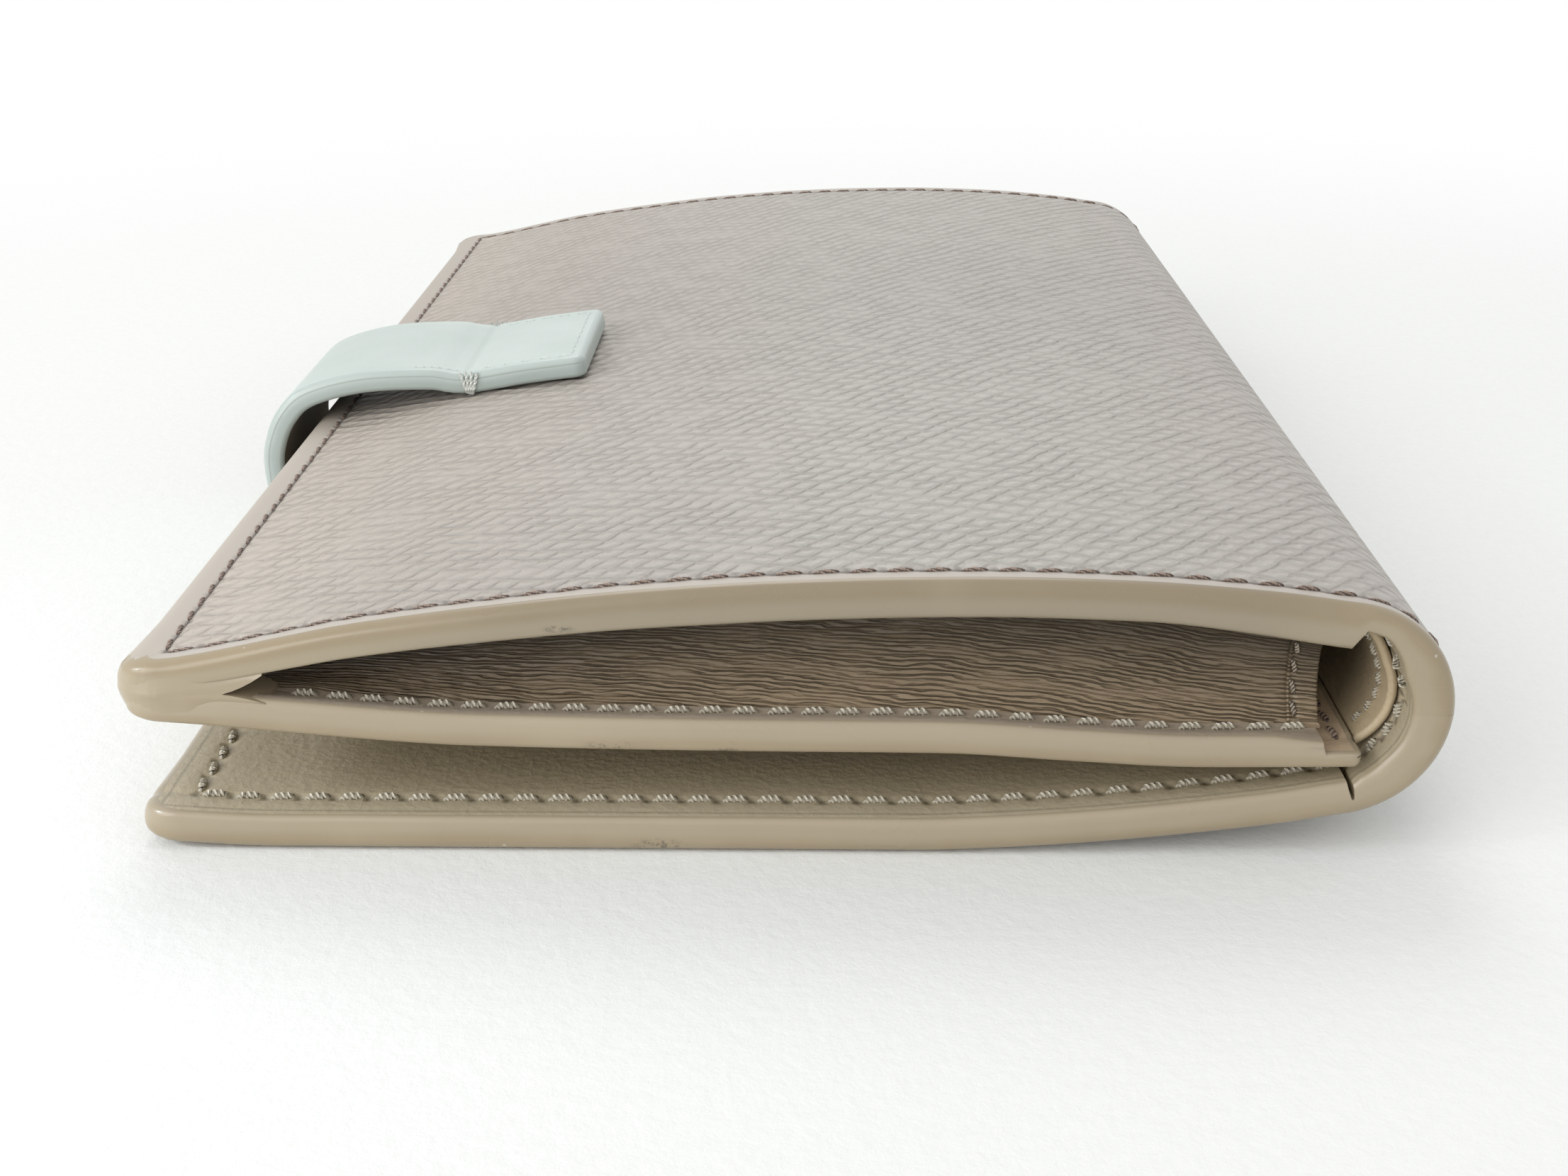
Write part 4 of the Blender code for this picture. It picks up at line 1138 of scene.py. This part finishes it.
nearLine = [(hemAt - 0.4 * mm, panel["inset"]), (11.4 * mm, panel["inset"])]
farLine = [(a, long - b) for a, b in reversed(nearLine)]
edge = panelProfile["length"] - panel["endInset"]
upper = linePlaces(nearLine, thread["pitch"], thread["slant"], 3)
upper += linePlaces(farLine, thread["pitch"], thread["slant"], 4)
lower = coverLine(panelProfile["length"] - 2 * mm, panel["inset"], 8, thread["slant"])
lip = linePlaces([(edge, 2.2 * mm), (edge, long - 2.2 * mm)], 2.7 * mm, thread["slant"], 5)
for name, places, depth, side, finish in (
        ("panelStitches", upper, panel["thickness"], 1, paleThread),
        ("panelUnderStitches", lower, 0.0, -1, paleThread),
        ("panelLipStitches", lip, panel["thickness"], 1, brownThread)):
    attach(sewOnto(name, places, depth, side, panelProfile, finish, panelDepth), "back_cover")

stripLine = []
for y in (strip["inset"] + strip["seam"], long - strip["inset"] - strip["seam"]):
    ends = [(stripLow + 1 * mm, y), (stripHigh - 1 * mm, y)]
    stripLine += linePlaces(ends, thread["pitch"], thread["slant"], 6)
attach(sewOnto("stripStitches", stripLine, strip["thickness"], 1, stripProfile, paleThread, stripDepth,
                thickness=0.50 * mm, arch=0.16 * mm), "spine")

inset = strap["inset"]
low, high, last = strapLow + inset, strapHigh - inset, seamAt - 1 * mm
places = linePlaces([(last, low), (inset, low), (inset, high), (last, high)], 1.9 * mm, 5, 7)
places += linePlaces([(seamAt + 1 * mm, low), (seamAt + 6 * mm, low)], 1.9 * mm, 5, 8)
piece = sewOnto("strapStitches", places, 0.02 * mm, -1, strapProfile, strapThread, strapDepth,
                length=1.5 * mm, thickness=0.24 * mm, arch=0.03 * mm, twist=40, steps=8)
strapBlend(piece, seamAt)

# the seam ends in a few turns of thread over each side edge, which come together at the bottom
bm = bmesh.new()
template = threadShape(bm, 2.5 * mm, 0.46 * mm, 0.14 * mm)
bmesh.ops.translate(bm, verts=template, vec=(1.25 * mm, 0, 0))
x, z = pointOn(strapProfile, seamAt, strap["thickness"] + 0.1 * mm)
for far in (False, True):
    for k, lean in enumerate((-18, -7, 4, 15)):
        verts = copyThread(bm, template)
        for angle, axis in ((-90 if far else 90, "X"), (lean - 90, "Y")):
            turnVerts(bm, verts, angle * degree, axis)
        bmesh.ops.translate(bm, verts=verts, vec=(
            x - originX + (k - 1.5) * 0.12 * mm, (strapHigh if far else strapLow) - originY, z))
bmesh.ops.delete(bm, geom=template, context="VERTS")
bmesh.ops.recalc_face_normals(bm, faces=bm.faces)
seamEnds = makePiece("strapSeamEnds", bm, (seamThread,), 70)
strapBlend(seamEnds, seamAt)
print("stitches made")


# Stage, light and camera

def buildStage():
    bm = bmesh.new()
    bmesh.ops.create_grid(bm, x_segments=2, y_segments=2, size=3.0)
    bmesh.ops.translate(bm, verts=bm.verts, vec=(0, 0, -0.05 * mm))
    finish, tree, shader = newFinish("paperFloor", 0.9)
    where = solidPlace(tree)
    fibre = noiseOn(where, 700.0, 4.0, 0.7)
    plug(mixTones(fibre, (0.815, 0.82, 0.80), (0.765, 0.77, 0.75)), shader.inputs["Base Color"])
    addBump(shader, fibre, 0.5, 0.0002)
    glow = addNode(tree, "Emission", Color=(1, 1, 1), Strength=1.0)
    seen = addNode(tree, "LightPath", output="Is Camera Ray")
    share = vectorMath("LENGTH", where, output="Value").ranged(0.13, 0.32) * seen
    mixed = addNode(tree, "MixShader", share, Wire(tree, shader.outputs[0]), glow)
    plug(mixed, tree.nodes["Material Output"].inputs["Surface"])
    makePiece("floor", bm, (finish,))


def buildWorld():
    world = bpy.data.worlds.new("softRoom")
    bpy.context.scene.world = world
    world.use_nodes = True
    tree = world.node_tree
    room = tree.nodes["Background"]
    feed(room, {"Color": (0.97, 0.985, 1.0), "Strength": 0.93})
    shown = addNode(tree, "Background", Color=(1, 1, 1), Strength=1.0)
    seen = addNode(tree, "LightPath", output="Is Camera Ray")
    mixed = addNode(tree, "MixShader", seen, Wire(tree, room.outputs[0]), shown)
    plug(mixed, tree.nodes["World Output"].inputs["Surface"])


def addLamp(name, kind, place, target, **values):
    lamp = bpy.data.lights.new(name, kind)
    for key, value in values.items():
        setattr(lamp, key, value)
    holder = putInScene(name, lamp)
    holder.location = place
    holder.rotation_euler = (Vector(target) - Vector(place)).to_track_quat("-Z", "Y").to_euler()


buildStage()
buildWorld()
addLamp("window", "AREA", (-0.08, 0.62, 0.85), (0, 0, 0), shape="DISK", size=0.6, energy=2.4,
        color=(1.0, 0.985, 0.96))
addLamp("fill", "AREA", (-0.42, -0.42, 0.22), (0, 0, 0), shape="DISK", size=0.5, energy=1.75,
        color=(1.0, 0.98, 0.95))
# daylight that reaches in between the covers from the left
addLamp("glance", "SPOT", (-0.34, -0.16, 0.19), (-0.042, -0.068, 0.006), spot_size=20 * degree,
        spot_blend=1.0, shadow_soft_size=0.04, energy=2.0, color=(0.80, 0.90, 1.0))

view = {
    "focal": 2660, "pictureWidth": 2212, "sensor": 36, "pitch": 22.84, "yaw": 1.064, "roll": 0.193,
    "place": (0.00526, -0.20179, 0.07581),
}
camera = bpy.data.cameras.new("camera")
camera.sensor_width = view["sensor"]
camera.lens = view["sensor"] * view["focal"] / view["pictureWidth"]
camera.clip_start = 0.01
holder = putInScene("camera", camera)
holder.location = view["place"]
holder.rotation_euler = ((90 - view["pitch"]) * degree, view["roll"] * degree, view["yaw"] * degree)
bpy.context.scene.camera = holder
bpy.context.scene.view_settings.view_transform = "Standard"
print("stage made")

for name in ("snap_stud", "snap_socket"):
    finish, tree, shader = newFinish(name + "Metal", 0.28, Metallic=1.0)
    brushed = mixTones(noiseOn(solidPlace(tree), 700.0), (0.70, 0.68, 0.64), (0.60, 0.58, 0.55))
    plug(brushed, shader.inputs["Base Color"])
    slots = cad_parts[name].data.materials
    slots.clear()
    slots.append(finish)
